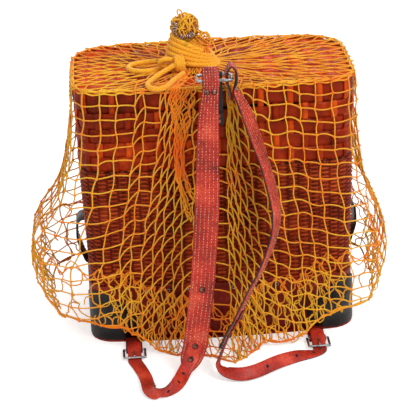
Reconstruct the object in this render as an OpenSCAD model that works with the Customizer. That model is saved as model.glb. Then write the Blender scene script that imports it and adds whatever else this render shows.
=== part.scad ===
// Wicker fishing creel, worn on the back: a plaited basket with a hinged lid, a leather base,
// two shoulder straps that buckle at the foot, and a knotted net cover gathered over the lid.
// Millimetres. The origin is the centre of the sole on the ground, +Z is up, and the strap
// side, which lies against the wearer, faces -Y.

/* [Basket] */
// Width of the basket at its rim
basket_w = 360; // [320:1:400]
// Depth of the basket from the strap side to the hinge side
basket_d = 190; // [170:1:220]
// Height of the rim's top edge
rim_z = 325; // [290:1:360]
// How far the strap side bows out at its middle
back_bow = 6; // [2:1:10]
// How far the hinge side bows out at its middle
front_bow = 4; // [1:1:6]
// Corner radius on the strap side
back_r = 36; // [28:1:44]
// Corner radius on the hinge side
front_r = 55; // [44:1:62]
// How far each side is drawn in at the top of the leather base
taper = 6; // [2:1:10]
// Thickness of the woven wall
wall_t = 5; // [4:0.5:7]
// Bands of canes that show as ribs between the leather base and the splints
cane_ribs = 16; // [8:1:20]
// Depth of the hollow between two ribs
rib_depth = 1.1; // [0.5:0.1:1.5]
// Height of the zone of wide upright and flat splints
splint_zone_h = 58; // [40:1:80]
// Height of the rim hoop
hoop_h = 21; // [14:1:28]
// How far the hoop stands out from the wall
hoop_proud = 1.5; // [1:0.5:3]
// Height of the collar above the rim
collar_h = 12; // [8:1:16]
// Thickness of the collar
collar_t = 3; // [2:0.5:4]
// Thickness of the woven floor
floor_t = 5; // [3:0.5:7]

/* [Leather base] */
// Height of the leather base
base_h = 80; // [60:1:100]
// Thickness of its leather
base_t = 2.5; // [2:0.5:4]
// Thickness of the sole
sole_t = 3; // [2:0.5:5]
// How far the sole's edge stands out as a welt
welt = 1.5; // [1:0.5:3]
// Reach of a black corner guard from its corner
guard_reach = 71; // [55:1:80]
// Thickness of a corner guard
guard_t = 2; // [1.5:0.5:3]
// Lacing eyelets along the top of the base, on each half of a long side
eyelets = 5; // [3:1:7]
// Spacing of the eyelets
eyelet_step = 29; // [20:1:30]
// Diameter of an eyelet
eyelet_d = 6; // [4:0.5:8]

/* [Lid] */
// Height of the lid's skirt band
lid_band_h = 28.5; // [22:0.5:34]
// Thickness of the skirt band
lid_band_t = 4; // [3:0.5:5]
// Thickness of the plaited top
lid_panel_t = 7; // [5:0.5:9]
// Gap between the lid and the rim
lid_gap = 0.5; // [0.3:0.1:1]
// Width of a hinge strap
hinge_w = 30; // [22:1:36]
// Distance of each hinge strap from the middle
hinge_x = 90; // [70:1:100]
// Thickness of the hinge leather
hinge_t = 2.2; // [1.5:0.1:2.6]
// Reach of a hinge strap above and below the hinge line
hinge_reach = 26; // [20:1:28]

/* [Shoulder straps] */
// Width of a shoulder strap at the ring
strap_top_w = 21; // [18:1:22]
// Width of a shoulder strap lower down
strap_w = 31; // [26:1:34]
// Thickness of a shoulder strap
strap_t = 3.2; // [2.6:0.1:3.4]
// Width of the narrow lower strap
lower_w = 18; // [14:1:20]
// Thickness of the lower strap
lower_t = 2.4; // [2:0.1:2.6]
// Diameter of a strap rivet's head
rivet_d = 6.5; // [5:0.5:7]
// Height of a rivet's head
rivet_h = 1.4; // [1:0.1:2]

/* [Ring and tab] */
// Half the length of the ring, to the middle of its wire
ring_half = 22; // [19:1:25]
// How far the middle of the ring lies left of the middle of the basket
ring_shift = 3; // [2:0.5:4]
// Depth of the ring between the middles of its bars
ring_depth = 24; // [22:1:26]
// Diameter of the ring's wire
ring_wire = 4; // [3.4:0.1:4.4]
// Corner radius of the ring
ring_r = 5; // [4:1:6]
// Height of the ring
ring_z = 374; // [370:1:378]
// Width of the leather tab that holds the ring
tab_w = 22; // [16:1:26]
// Thickness of the tab
tab_t = 2.6; // [2:0.1:3]
// Gap between the tab and the lid
tab_gap = 2; // [1.5:0.1:3]

/* [Buckles] */
// Distance of each buckle from the middle
buckle_x = 122; // [118:1:126]
// Length of a buckle frame between the middles of its bars
frame_l = 22.5; // [20:0.5:25]
// Width of a buckle frame between the middles of its side bars
frame_w = 28; // [26:0.5:32]
// Diameter of the frame's wire
frame_wire = 3.2; // [2.8:0.1:3.4]
// Diameter of the prong
prong_d = 2.4; // [2:0.1:2.6]
// Width of a buckle tab
buckle_tab_w = 22; // [18:1:23]
// Thickness of a buckle tab
buckle_tab_t = 2.8; // [2.4:0.1:3]
// Height of the pivot bar
buckle_z = 4.8; // [4.8:0.1:5.2]
// Distance of the pivot bar in front of the base
buckle_reach = 34; // [32:1:36]

/* [Side loops] */
// Width of a black side loop
loop_w = 34; // [24:1:44]
// Height of a side loop
loop_h = 66; // [50:1:80]
// Height of its lower end above the leather base
loop_lift = 6; // [4:1:20]
// How far a side loop stands out from the wall
loop_out = 16; // [12:1:20]
// Thickness of its leather
loop_t = 2.4; // [2:0.1:3]

/* [Net cover] */
// Thickness of the net's twine
twine = 2; // [1.6:0.1:2.4]
// How far the net bulges at the sides, beyond the rim
net_bulge = 64; // [40:1:80]
// Spacing of the net's gaps, drawn coarser than the real mesh
net_cell = 44; // [40:1:60]
// Height of the net's hem above the ground
hem_z = 12; // [10:1:24]
// Half the width of the parting in the net at the strap side
net_parting = 42; // [40:1:60]
// Diameter of the thick tie cord
tie_d = 7; // [6:0.5:8]
// Turns of the tie cord round the neck of the net
tie_turns = 3; // [2:1:4]
// Radius of the gathered ball of net
ball_r = 18; // [16:1:20]
// Number of small steel rings at the net's mouth
mouth_rings = 9; // [6:1:9]
// Outer diameter of a mouth ring
mouth_ring_d = 16; // [14:1:18]
// Wire of a mouth ring
mouth_ring_wire = 1.6; // [1.4:0.1:1.8]

/* [Hidden] */
$fn = 48;

// Clearances
seat = 0.1;        // between layers that are sewn or riveted together
free = 0.3;        // between neighbours on different bodies
pin_play = 0.08;   // round a pivot bar

// Half sizes and growths of the plan outline
half_w = basket_w / 2;
half_d = basket_d / 2;
base_out = -taper + seat + base_t;
guard_out = base_out + seat + guard_t;
collar_out = -wall_t - seat;

// Heights
wall_foot = sole_t + seat;
hoop_z = rim_z - hoop_h;
splint_z = hoop_z - splint_zone_h;
lid_foot = rim_z + lid_gap;
lid_top = lid_foot + lid_band_h;
net_z = lid_top + free;

// The hinge line on the +Y side, just outside the rim hoop
hinge_y = half_d + front_bow + hoop_proud + seat + hinge_t / 2;
hinge_z = rim_z + lid_gap / 2;
hinge_roll = hinge_t / 2 + 0.8;

// Colours
lacquer = "#8c2a12";
maroon = "#6b1c16";
tan_strap = "#a8432b";
black_leather = "#17191c";
net_yellow = "#f29a1c";
cord_yellow = "#f7ad2c";
steel = "#b8bcc0";

// ---- Plan outline -------------------------------------------------------------------------

function arc(cx, cy, r, a0, a1, n = 6) =
    [for (i = [0:n]) let (a = a0 + (a1 - a0) * i / n) [cx + r * cos(a), cy + r * sin(a)]];

// Points between two corners on a side that bows out by b, without its end points.
function bowed(x0, x1, y, b, n = 8) =
    [for (i = [1:n - 1]) let (s = 2 * i / n - 1) [x0 + (x1 - x0) * i / n, y + b * (1 - s * s)]];

// The basket's plan, grown outwards by g all round.
function plan(g) =
    let (cb = half_w - back_r, yb = half_d - back_r, cf = half_w - front_r, yf = half_d - front_r)
    concat(
        arc(-cb, -yb, back_r + g, 180, 270), bowed(-cb, cb, -half_d - g, -back_bow),
        arc(cb, -yb, back_r + g, 270, 360), arc(cf, yf, front_r + g, 0, 90),
        bowed(cf, -cf, half_d + g, front_bow), arc(-cf, yf, front_r + g, 90, 180)
    );

// Depth of the strap side and of the hinge side at x, without growth.
function back_y(x) = -half_d - back_bow * (1 - pow(x / (half_w - back_r), 2));
function front_y(x) = half_d + front_bow * (1 - pow(x / (half_w - front_r), 2));

// A straight ring of wall between two growths.
module wall_ring(z0, z1, outer, inner) {
    translate([0, 0, z0]) linear_extrude(z1 - z0) difference() {
        polygon(plan(outer));
        polygon(plan(inner));
    }
}

// A slab that fills the plan.
module slab(z0, z1, g) {
    translate([0, 0, z0]) linear_extrude(z1 - z0) polygon(plan(g));
}

// Joins loops of equal length into a closed ring of faces.
function ring_faces(n, loops) =
    [for (k = [0:loops - 1], i = [0:n - 1])
        let (a = k * n, b = ((k + 1) % loops) * n, j = (i + 1) % n)
        each [[a + i, b + i, a + j], [a + j, b + i, b + j]]];

// A wall of thickness t that passes through levels, each [height, growth].
module leaning_wall(levels, t) {
    n = len(plan(0));
    up = len(levels);
    loops = concat(levels, [for (i = [up - 1:-1:0]) [levels[i][0], levels[i][1] - t]]);
    points = [for (l = loops, p = plan(l[1])) [p[0], p[1], l[0]]];
    polyhedron(points, ring_faces(n, len(loops)));
}

// ---- Vectors, smooth routes and ribbons ---------------------------------------------------

function unit(v) = v / norm(v);

// One point of a smooth curve through p, between points i and i + 1.
function spline_at(p, i, s) =
    let (a = p[max(i - 1, 0)], b = p[i], c = p[i + 1], d = p[min(i + 2, len(p) - 1)])
    0.5 * (2 * b + (c - a) * s + (2 * a - 5 * b + 4 * c - d) * s * s
        + (3 * b - a - 3 * c + d) * s * s * s);
function smooth(p, steps) =
    concat([for (i = [0:len(p) - 2], k = [0:steps - 1]) spline_at(p, i, k / steps)],
        [p[len(p) - 1]]);
function tangent(p, i) = unit(p[min(i + 1, len(p) - 1)] - p[max(i - 1, 0)]);

// The flat face's normal and the true cross direction at stop i of a ribbon. A stop is
// [place, cross direction, width].
function places(stops) = [for (s = stops) s[0]];
function crosses(stops) = [for (s = stops) s[1]];
function widths(stops) = [for (s = stops) s[2]];
function face_normal(stops, i) = unit(cross(tangent(places(stops), i), stops[i][1]));

// A leather ribbon of thickness t through its stops.
module ribbon(stops, t, steps = 4) {
    p = smooth(places(stops), steps);
    w = smooth(crosses(stops), steps);
    b = smooth(widths(stops), steps);
    n = len(p);
    rings = [for (i = [0:n - 1])
        let (d = tangent(p, i), up = unit(cross(d, w[i])), side = cross(up, d), h = b[i] / 2)
        each [p[i] - side * h - up * t / 2, p[i] + side * h - up * t / 2,
            p[i] + side * h + up * t / 2, p[i] - side * h + up * t / 2]];
    skin = [for (i = [0:n - 2], k = [0:3])
        let (a = 4 * i + k, c = 4 * i + (k + 1) % 4)
        each [[a, a + 4, c + 4], [a, c + 4, c]]];
    last = 4 * (n - 1);
    ends = [[0, 1, 2], [0, 2, 3], [last, last + 2, last + 1], [last, last + 3, last + 2]];
    polyhedron(rings, concat(skin, ends));
}

// Sections of a tube of m sides along points p, carried round without twist.
function carried(p, i, up) = let (d = tangent(p, i)) unit(up - d * (up * d));
function frames(p, up, i = 0) =
    let (u = carried(p, i, up)) i == len(p) - 1 ? [u] : concat([u], frames(p, u, i + 1));
function tube_ring(p, i, u, r, m) =
    let (v = cross(tangent(p, i), u))
    [for (k = [0:m - 1]) p[i] + r * (cos(360 * k / m) * u + sin(360 * k / m) * v)];

// A cord of diameter d along points p with m sides.
module cord(p, d, m, up = [0, 0, 1]) {
    n = len(p);
    u = frames(p, up);
    points = [for (i = [0:n - 1]) each tube_ring(p, i, u[i], d / 2, m)];
    skin = [for (i = [0:n - 2], k = [0:m - 1])
        let (a = m * i + k, c = m * i + (k + 1) % m)
        each [[a, c, c + m], [a, c + m, a + m]]];
    caps = [for (k = [1:m - 2]) each [[0, k + 1, k],
        [m * (n - 1), m * (n - 1) + k, m * (n - 1) + k + 1]]];
    polyhedron(points, concat(skin, caps));
}

// A domed rivet head at place, standing along direction n.
module rivet_head(place, n, d = rivet_d, h = rivet_h) {
    tilt = acos(n[2] / norm(n));
    turn = atan2(n[1], n[0]);
    translate(place) rotate([0, tilt, turn]) cylinder(d1 = d, d2 = d * 0.6, h = h);
}

// ---- Leather base -------------------------------------------------------------------------

module base_sole() {
    color(maroon) slab(0, sole_t, base_out + welt);
}

// Slot in the base through which a buckle tab is sewn to the sole.
module tab_slots() {
    for (side = [-1, 1])
        translate([side * buckle_x - buckle_tab_w / 2 - seat, -half_d - back_bow - base_t,
            sole_t - 1])
            cube([buckle_tab_w + 2 * seat, half_d / 2, buckle_tab_t + 1 + 2 * seat]);
}

module leather_base() {
    color(maroon) difference() {
        wall_ring(sole_t, base_h, base_out, base_out - base_t);
        tab_slots();
    }
}

// A black leather corner with a rounded edge, held round the base.
module corner_guard(side, front) {
    y = front ? half_d : -half_d;
    reach = front ? guard_reach + (front_r - back_r) / 2 : guard_reach;
    color(black_leather) mirror([side < 0 ? 0 : 1, 0, 0]) difference() {
        intersection() {
            wall_ring(sole_t + seat, base_h - 6, guard_out, guard_out - guard_t);
            translate([-half_w, y, sole_t]) sphere(r = reach, $fn = 96);
        }
        tab_slots();
    }
}

// Small eyelets that lace the net to the base's top edge.
module base_eyelets() {
    z = base_h - 1.2 * eyelet_d;
    color(steel) for (side = [-1, 1], i = [0:eyelets - 1]) {
        x = side * (eyelet_step / 2 + i * eyelet_step);
        g = base_out + 2 * seat;
        if (abs(x) < half_w - front_r) {
            rivet_head([x, front_y(x) + g, z], [0, 1, 0], eyelet_d, 0.8);
            rivet_head([x, back_y(x) - g, z], [0, -1, 0], eyelet_d, 0.8);
        }
    }
}

// ---- Basket -------------------------------------------------------------------------------

module basket_floor() {
    color(lacquer) slab(wall_foot, wall_foot + floor_t, -taper - wall_t - seat);
}

// Fine wicker from the floor to the splint zone, drawn in towards the base. Above the base
// its canes stand out in level ribs.
function cane_rib(i, n) =
    let (t = i / n) [base_h + t * (splint_z - base_h), -taper * (1 - t) - (i % 2) * rib_depth];

module wall_weave() {
    n = 2 * cane_ribs;
    color(lacquer)
        leaning_wall(concat([[wall_foot, -taper]], [for (i = [0:n]) cane_rib(i, n)]), wall_t);
}

module wall_splints() {
    color(lacquer) wall_ring(splint_z + seat / 2, hoop_z, 0, -wall_t);
}

module rim_hoop() {
    color(lacquer) wall_ring(hoop_z + seat, rim_z, hoop_proud, -wall_t);
}

module rim_collar() {
    color(lacquer)
        wall_ring(hoop_z - hoop_h / 2, rim_z + collar_h, collar_out, collar_out - collar_t);
}

// ---- Lid ----------------------------------------------------------------------------------

module lid_band() {
    color(lacquer) wall_ring(lid_foot, lid_top, hoop_proud, hoop_proud - lid_band_t);
}

module lid_panel() {
    color(lacquer) slab(lid_top - lid_panel_t, lid_top, hoop_proud - lid_band_t - seat);
}

// Keeps only the part of a wall ring that a hinge strap covers.
module at_hinge(side, z0, z1) {
    intersection() {
        children();
        translate([side * hinge_x - hinge_w / 2, 0, z0]) cube([hinge_w, basket_d, z1 - z0]);
    }
}

// The lower half of a leather hinge, with the roll on which the lid turns.
module hinge_strap(side) {
    inner = hoop_proud + seat;
    color(tan_strap) union() {
        at_hinge(side, rim_z - hinge_reach, rim_z - free)
            wall_ring(hoop_z, rim_z, inner + hinge_t, inner);
        translate([side * hinge_x - hinge_w / 2, hinge_y, hinge_z]) rotate([0, 90, 0])
            cylinder(r = hinge_roll, h = hinge_w);
    }
}

// The upper half, riveted to the lid's band.
module hinge_leaf(side) {
    inner = hoop_proud + seat;
    color(tan_strap) at_hinge(side, hinge_z + hinge_roll + free, hinge_z + hinge_reach)
        wall_ring(lid_foot, lid_top, inner + hinge_t, inner);
}

// Two rivets on each hinge strap at height z.
module hinge_rivet_row(z) {
    g = hoop_proud + 3 * seat + hinge_t;
    for (side = [-1, 1], dx = [-1, 1]) {
        x = side * hinge_x + dx * hinge_w / 4;
        rivet_head([x, front_y(x) + g, z], [0, 1, 0]);
    }
}

module hinge_rivets() {
    color(steel) hinge_rivet_row(hinge_z - hinge_reach * 0.6);
}

module hinge_leaf_rivets() {
    color(steel) hinge_rivet_row(hinge_z + hinge_reach * 0.6);
}

// ---- Ring and its tab ---------------------------------------------------------------------

// The tab stands on the rim hoop, passes outside the lid and turns round the ring's bar.
tab_root_y = -half_d - back_bow - hoop_proud - seat;
tab_face_y = tab_root_y - tab_gap;
tab_eye = ring_wire / 2 + pin_play;
bar_y = tab_face_y - tab_t / 2 - 3;
far_bar_y = bar_y - ring_depth;
tab_foot_z = hoop_z + 1;
ring_x = -ring_shift;

module ring_tab() {
    y_out = tab_face_y - tab_t;
    color(tan_strap) translate([ring_x - tab_w / 2, 0, 0]) rotate([90, 0, 90]) difference() {
        linear_extrude(tab_w) union() {
            polygon([[tab_root_y, tab_foot_z], [tab_root_y, rim_z - 2], [tab_face_y, rim_z + 2],
                [tab_face_y, ring_z], [y_out, ring_z], [y_out, rim_z],
                [tab_root_y - tab_t, rim_z - 4], [tab_root_y - tab_t, tab_foot_z]]);
            translate([bar_y, ring_z]) circle(r = tab_eye + tab_t);
        }
        translate([bar_y, ring_z, -1]) cylinder(r = tab_eye, h = tab_w + 2);
    }
}

module ring_tab_rivets() {
    color(steel) for (z = [hoop_z + 6, rim_z - 8], dx = [-1, 1])
        rivet_head([ring_x + dx * tab_w / 4, tab_root_y - tab_t - seat, z], [0, -1, 0]);
}

// A rounded rectangle of wire that lies level, its near bar in the tab. The bars run a
// little into the corners.
module strap_ring() {
    x = ring_half - ring_r;
    join = 0.05;
    color(steel) translate([ring_x, 0, ring_z]) {
        for (y = [bar_y, far_bar_y])
            translate([-x - join, y, 0]) rotate([0, 90, 0])
                cylinder(d = ring_wire, h = 2 * (x + join));
        for (s = [-1, 1])
            translate([s * ring_half, far_bar_y + ring_r - join, 0]) rotate([-90, 0, 0])
                cylinder(d = ring_wire, h = ring_depth - 2 * (ring_r - join));
        for (s = [-1, 1], e = [0, 1])
            translate([s * x, e == 0 ? far_bar_y + ring_r : bar_y - ring_r, 0])
                rotate([0, 0, (e == 0 ? 180 : 0) + (s * (e == 0 ? -1 : 1) > 0 ? 0 : 90)])
                    rotate_extrude(angle = 90) translate([ring_r, 0]) circle(d = ring_wire);
    }
}

// ---- Shoulder straps ----------------------------------------------------------------------

across = [1, 0, 0];

// A place at x, a distance out from the strap side's face, and a height.
function out(x, distance, z) = [x, -half_d - back_bow - distance, z];

// Left strap: its short end, the fold over the ring's far bar, then down to the ground.
left_fold_x = -8;
left_stops = [
    [[left_fold_x, far_bar_y + 1.5, ring_z - 22], across, strap_top_w],
    [[left_fold_x, far_bar_y + 2.2, ring_z - 12], across, strap_top_w],
    [[left_fold_x, far_bar_y + 5.2, ring_z], across, strap_top_w],
    [[left_fold_x, far_bar_y + 5.2, ring_z + 10], across, strap_top_w],
    [[left_fold_x, far_bar_y, ring_z + 17], across, strap_top_w],
    [[left_fold_x, far_bar_y - 5.2, ring_z + 10], across, strap_top_w],
    [out(-8, 41, ring_z), across, strap_top_w],
    [out(-9, 38, 362), across, strap_top_w],
    [out(-11, 39, 346), across, 23],
    [out(-14, 41, 312), across, 27],
    [out(-19, 49, 222), across, strap_w],
    [out(-25, 59, 157), across, strap_w],
    [out(-31, 69, 106), across, strap_w],
    [out(-40, 79, 54), across, strap_w],
    [out(-44, 85, 34), across, strap_w],
    [out(-51, 93, 18), across, strap_w - 2],
    [out(-57, 100, 6), across, strap_w - 8]
];

// Right strap: turned edge-on, so its cross direction runs away from the viewer. Its face
// turns a little to the viewer below the fold.
edge_on = [0.4, 0.9, 0];
half_turned = [0.55, 0.84, 0];
fold_out = [1, 0, 0];
along_bar = [0, 1, 0];
right_fold = [ring_x + ring_half, (bar_y + far_bar_y) / 2, ring_z];
fold_w = 5.8;
fold_strap_w = strap_top_w - 3;
right_stops = [
    [right_fold + [0, 0, -28] - 1.9 * fold_out, along_bar, fold_strap_w],
    [right_fold + [0, 0, -18] - 3 * fold_out, along_bar, fold_strap_w],
    [right_fold + [0, 0, -6] - fold_w * fold_out, along_bar, fold_strap_w],
    [right_fold + [0, 0, 8] - fold_w * fold_out, along_bar, fold_strap_w],
    [right_fold + [0, 0, 15.5], along_bar, fold_strap_w],
    [right_fold + [0, 0, 8] + fold_w * fold_out, along_bar, fold_strap_w],
    [right_fold + [0, 0, -6] + fold_w * fold_out, along_bar, fold_strap_w],
    [right_fold + [1, 0, -18] + 3.4 * fold_out, [0.25, 0.97, 0], strap_top_w - 1],
    [out(34, 27, 333), half_turned, 23],
    [out(42, 28, 309), half_turned, 26],
    [out(56, 30, 263), edge_on, 30],
    [out(67, 35, 216), edge_on, strap_w],
    [out(70, 39, 192), edge_on, strap_w],
    [out(65, 44, 162), edge_on, strap_w],
    [out(50, 51, 126), edge_on, strap_w],
    [out(33, 59, 98), edge_on, strap_w],
    [out(14, 69, 66), edge_on, strap_w - 2],
    [out(-2, 79, 46), [0.35, 0.9, 0.1], strap_w - 4],
    [out(-12, 89, 31), [0.3, 0.9, 0.2], strap_w - 8]
];

module shoulder_strap(stops) {
    color(tan_strap) ribbon(stops, strap_t);
}

// ---- Lower straps and buckles -------------------------------------------------------------

// The narrow straps are riveted on the faces of the shoulder straps, turn on the ground
// and run under the buckle's far bar, up over its prong and out above its tab.
bar_front_y = -half_d - buckle_reach;
far_front_y = bar_front_y - frame_l;
on_ground = lower_t / 2 + 0.3;
tail_z = buckle_z + frame_wire / 2 + pin_play + buckle_tab_t + lower_t / 2 + 0.5;
notch_l = 7;
slot_l = 17;
slot_end = 0.5;
slot_play = 0.7;
lap_gap = 1.1;

// The outward direction of a shoulder strap, s of the way from stop i to the next, and a
// place that far along on the lower strap that is lapped on its outer face.
function lap_up(stops, i, s = 0) =
    let (p = spline_at(places(stops), i, s), q = spline_at(places(stops), i, s + 0.05))
    unit(cross(q - p, spline_at(crosses(stops), i, s)));
function lapped(stops, i, s = 0) =
    spline_at(places(stops), i, s) + lap_up(stops, i, s) * ((strap_t + lower_t) / 2 + lap_gap);

// The last stops of a lower strap, through the buckle at x; c is its cross direction.
function through_buckle(x, c) = [
    [[x, far_front_y - 5, on_ground], c, lower_w],
    [[x, far_front_y + 2, on_ground + 0.2], c, lower_w],
    [[x, (far_front_y + bar_front_y) / 2, (on_ground + tail_z) / 2], c, lower_w],
    [[x, bar_front_y - 1, tail_z], c, lower_w],
    [[x, bar_front_y + 8, tail_z + 0.2], c, lower_w],
    [[x, bar_front_y + 17, tail_z - 0.5], c, lower_w - 8]
];

left_lower_stops = concat([
    [lapped(left_stops, 13, 0.75), across, lower_w - 6],
    [lapped(left_stops, 14), across, lower_w],
    [lapped(left_stops, 14, 0.5), across, lower_w],
    [lapped(left_stops, 15), across, lower_w],
    [out(-61, 110, 9), [0.95, -0.1, -0.2], lower_w],
    [out(-67, 127, 8), [0.8, 0.1, -0.55], lower_w],
    [out(-75, 146, 10), [0.5, 0.3, -0.8], lower_w],
    [out(-87, 160, 10.5), [0.1, 0.4, -0.9], lower_w],
    [out(-99, 161, 10.5), [-0.4, 0.4, -0.8], lower_w],
    [out(-106, 146, 8), [-0.8, 0.35, -0.4], lower_w],
    [out(-108, 124, 4.5), [-0.97, 0.1, 0.1], lower_w],
    [out(-111, 97, on_ground + 0.6), [-1, 0, 0.06], lower_w],
    [out(-117, 72, on_ground), [-1, 0, 0], lower_w]
], through_buckle(-buckle_x, [-1, 0, 0]));

right_lower_stops = concat([
    [lapped(right_stops, 15, 0.8), edge_on, lower_w - 6],
    [lapped(right_stops, 16), edge_on, lower_w],
    [lapped(right_stops, 16, 0.5), edge_on, lower_w],
    [lapped(right_stops, 17), [0.35, 0.9, 0.1], lower_w],
    [out(-14, 100, 20), [0.15, 0.85, -0.5], lower_w],
    [out(-12, 111, 13), [0.45, 0.85, -0.1], lower_w],
    [out(-4, 118, 10), [0.4, 0.8, 0.35], lower_w],
    [out(12, 123, 9), [0.1, 0.68, 0.72], lower_w],
    [out(32, 117, 9), [-0.3, 0.6, 0.75], lower_w],
    [out(62, 95, 8.5), [-0.4, 0.6, 0.68], lower_w],
    [out(88, 78, 6), [-0.4, 0.75, 0.5], lower_w],
    [out(106, 69, 3.2), [-0.5, 0.8, 0.2], lower_w],
    [out(117, 63, on_ground + 0.4), [-0.84, 0.54, 0], lower_w]
], through_buckle(buckle_x, [-1, 0, 0]));

module lower_strap(stops, x) {
    color(tan_strap) difference() {
        ribbon(stops, lower_t, 3);
        translate([x - prong_d / 2 - slot_play, bar_front_y - slot_l, 0])
            cube([prong_d + 2 * slot_play, slot_l - slot_end, tail_z + lower_t]);
    }
}

// Rivets at the folds, the laps and the keeper stop, all on the outer faces, a little
// clear of leather that bends under them.
rivet_gap = 0.3;
module strap_rivets() {
    lift = strap_t / 2 + 2 * rivet_gap;
    lap_lift = lower_t / 2 + 3 * rivet_gap;
    color(steel) {
        for (dx = [-4.5, 4.5])
            rivet_head(left_stops[7][0] + [dx, 0, 0] + face_normal(left_stops, 7) * lift,
                face_normal(left_stops, 7));
        rivet_head(right_stops[7][0] + face_normal(right_stops, 7) * lift,
            face_normal(right_stops, 7));
        rivet_head(left_stops[12][0] + face_normal(left_stops, 12) * lift,
            face_normal(left_stops, 12));
        for (i = [14, 15])
            rivet_head(lapped(left_stops, i) + lap_up(left_stops, i) * lap_lift,
                lap_up(left_stops, i));
        for (i = [16, 17])
            rivet_head(lapped(right_stops, i) + lap_up(right_stops, i) * lap_lift,
                lap_up(right_stops, i));
    }
}

// Side view of a buckle tab, from the sole's edge to the eye round the pivot bar.
module buckle_tab_side(x, with_eye) {
    eye = frame_wire / 2 + pin_play;
    root_y = back_y(buckle_x - buckle_tab_w / 2) - base_out + base_t;
    edge_y = back_y(x) - base_out - welt;
    low = sole_t + seat / 2;
    foot = buckle_z - eye - buckle_tab_t + seat;
    end_y = bar_front_y + (with_eye ? eye + buckle_tab_t / 3 : notch_l);
    polygon([[root_y, low], [edge_y - 1, low], [edge_y - 8, foot], [end_y, foot],
        [end_y, foot + buckle_tab_t], [edge_y - 10, buckle_z],
        [edge_y - 1, low + buckle_tab_t], [root_y, low + buckle_tab_t]]);
    if (with_eye)
        translate([bar_front_y, buckle_z]) difference() {
            circle(r = eye + buckle_tab_t);
            circle(r = eye);
        }
}

// A tab sewn to the sole, turned round the buckle's pivot bar, notched for the prong.
module buckle_tab(x) {
    ear_w = (buckle_tab_w - prong_d - 3) / 2;
    color(tan_strap) translate([x - buckle_tab_w / 2, 0, 0]) rotate([90, 0, 90]) {
        linear_extrude(buckle_tab_w) buckle_tab_side(x, false);
        for (z = [0, buckle_tab_w - ear_w])
            translate([0, 0, z]) linear_extrude(ear_w) buckle_tab_side(x, true);
    }
}

// A rectangular wire frame that lies level, its pivot bar in the tab.
module buckle_frame(x) {
    w = frame_w / 2;
    color(steel) translate([x, 0, buckle_z]) union() {
        for (y = [bar_front_y, far_front_y])
            translate([-w, y, 0]) rotate([0, 90, 0]) cylinder(d = frame_wire, h = frame_w);
        for (s = [-w, w]) {
            translate([s, far_front_y, 0]) rotate([-90, 0, 0])
                cylinder(d = frame_wire, h = frame_l);
            for (y = [bar_front_y, far_front_y])
                translate([s, y, 0]) sphere(d = frame_wire);
        }
    }
}

// A prong that turns on the pivot bar and rests over the far bar.
module buckle_prong(x) {
    eye = frame_wire / 2 + pin_play;
    eye_w = prong_d + 1.4;
    rod_z = frame_wire / 2 + free + prong_d / 2;
    color(steel) translate([x, bar_front_y, buckle_z]) difference() {
        union() {
            translate([-eye_w / 2, 0, 0]) rotate([0, 90, 0])
                cylinder(r = rod_z + prong_d / 2 + 0.1, h = eye_w);
            translate([0, 0, rod_z]) rotate([90, 0, 0])
                cylinder(d = prong_d, h = frame_l + 1);
            translate([0, -frame_l - 1, rod_z]) sphere(d = prong_d);
        }
        translate([-eye_w, 0, 0]) rotate([0, 90, 0]) cylinder(r = eye, h = 2 * eye_w);
    }
}

// ---- Side loops ---------------------------------------------------------------------------

// A black leather loop on the side wall at side = -1 or 1, open along Y.
loop_y = -6;
loop_z = base_h + loop_lift;

// The side wall's outer face at height z, between the base and the splints.
function side_x(z) = half_w - taper * (1 - (z - base_h) / (splint_z - base_h));

module side_loop(side) {
    z1 = loop_z + loop_h;
    low_x = side_x(loop_z) + seat;
    high_x = side_x(z1) + seat;
    bulge_x = low_x + loop_out;
    outer = [[low_x, loop_z], [low_x + 6, loop_z + 4], [bulge_x, loop_z + loop_h * 0.55],
        [bulge_x, loop_z + loop_h * 0.8], [low_x + 9, z1], [high_x, z1]];
    inner = [[low_x + 1, loop_z + 4], [low_x + 5, loop_z + 7],
        [bulge_x - loop_t, loop_z + loop_h * 0.56], [bulge_x - loop_t, loop_z + loop_h * 0.78],
        [low_x + 8, z1 - loop_t], [high_x + 1, z1 - loop_t]];
    color(black_leather) scale([side, 1, 1]) translate([0, loop_y + loop_w / 2, 0])
        rotate([90, 0, 0]) linear_extrude(loop_w) difference() {
            polygon(outer);
            polygon(inner);
        }
}

module side_loop_rivets() {
    x = side_x(loop_z) + 6;
    color(steel) for (side = [-1, 1], dy = [-1, 1])
        rivet_head([side * x, loop_y + dy * loop_w / 4, loop_z + loop_h + seat],
            [0, 0, 1], 4, 1);
}

// ---- Net cover ----------------------------------------------------------------------------

// A flat sheet of square gaps, w wide and h high, in the XY plane with its corner at the
// origin; every gap is closed all round by twine.
module lattice(w, h) {
    nx = max(1, round(w / net_cell));
    ny = max(1, round(h / net_cell));
    gx = (w - twine) / nx;
    gy = (h - twine) / ny;
    difference() {
        square([w, h]);
        for (i = [0:nx - 1], j = [0:ny - 1])
            translate([twine + i * gx, twine + j * gy]) square([gx - twine, gy - twine]);
    }
}

// The hanging line of the net from the lid's edge to the hem, as distances out and heights.
net_top_z = net_z + twine;
edge_out = 2;
side_line = [[edge_out + seat, net_top_z], [4.5, lid_top - 12], [6, 300], [14, 240], [30, 185],
    [net_bulge - 8, 150], [net_bulge, 112], [net_bulge - 4, 76], [net_bulge - 22, 40], [10, hem_z]];
back_line = [[edge_out + seat, net_top_z], [3.5, lid_top - 12], [4, 260], [8, 150], [16, 60],
    [22, hem_z + 6]];
front_line = [[edge_out + seat, net_top_z], [7, lid_top - 8], [8, 300], [18, 220], [30, 150],
    [34, 90], [20, hem_z]];

// A strip of net thickness along a hanging line, as a closed outline.
function strip(line) =
    concat(line, [for (i = [len(line) - 1:-1:0]) line[i] + [twine, 0]]);

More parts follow.
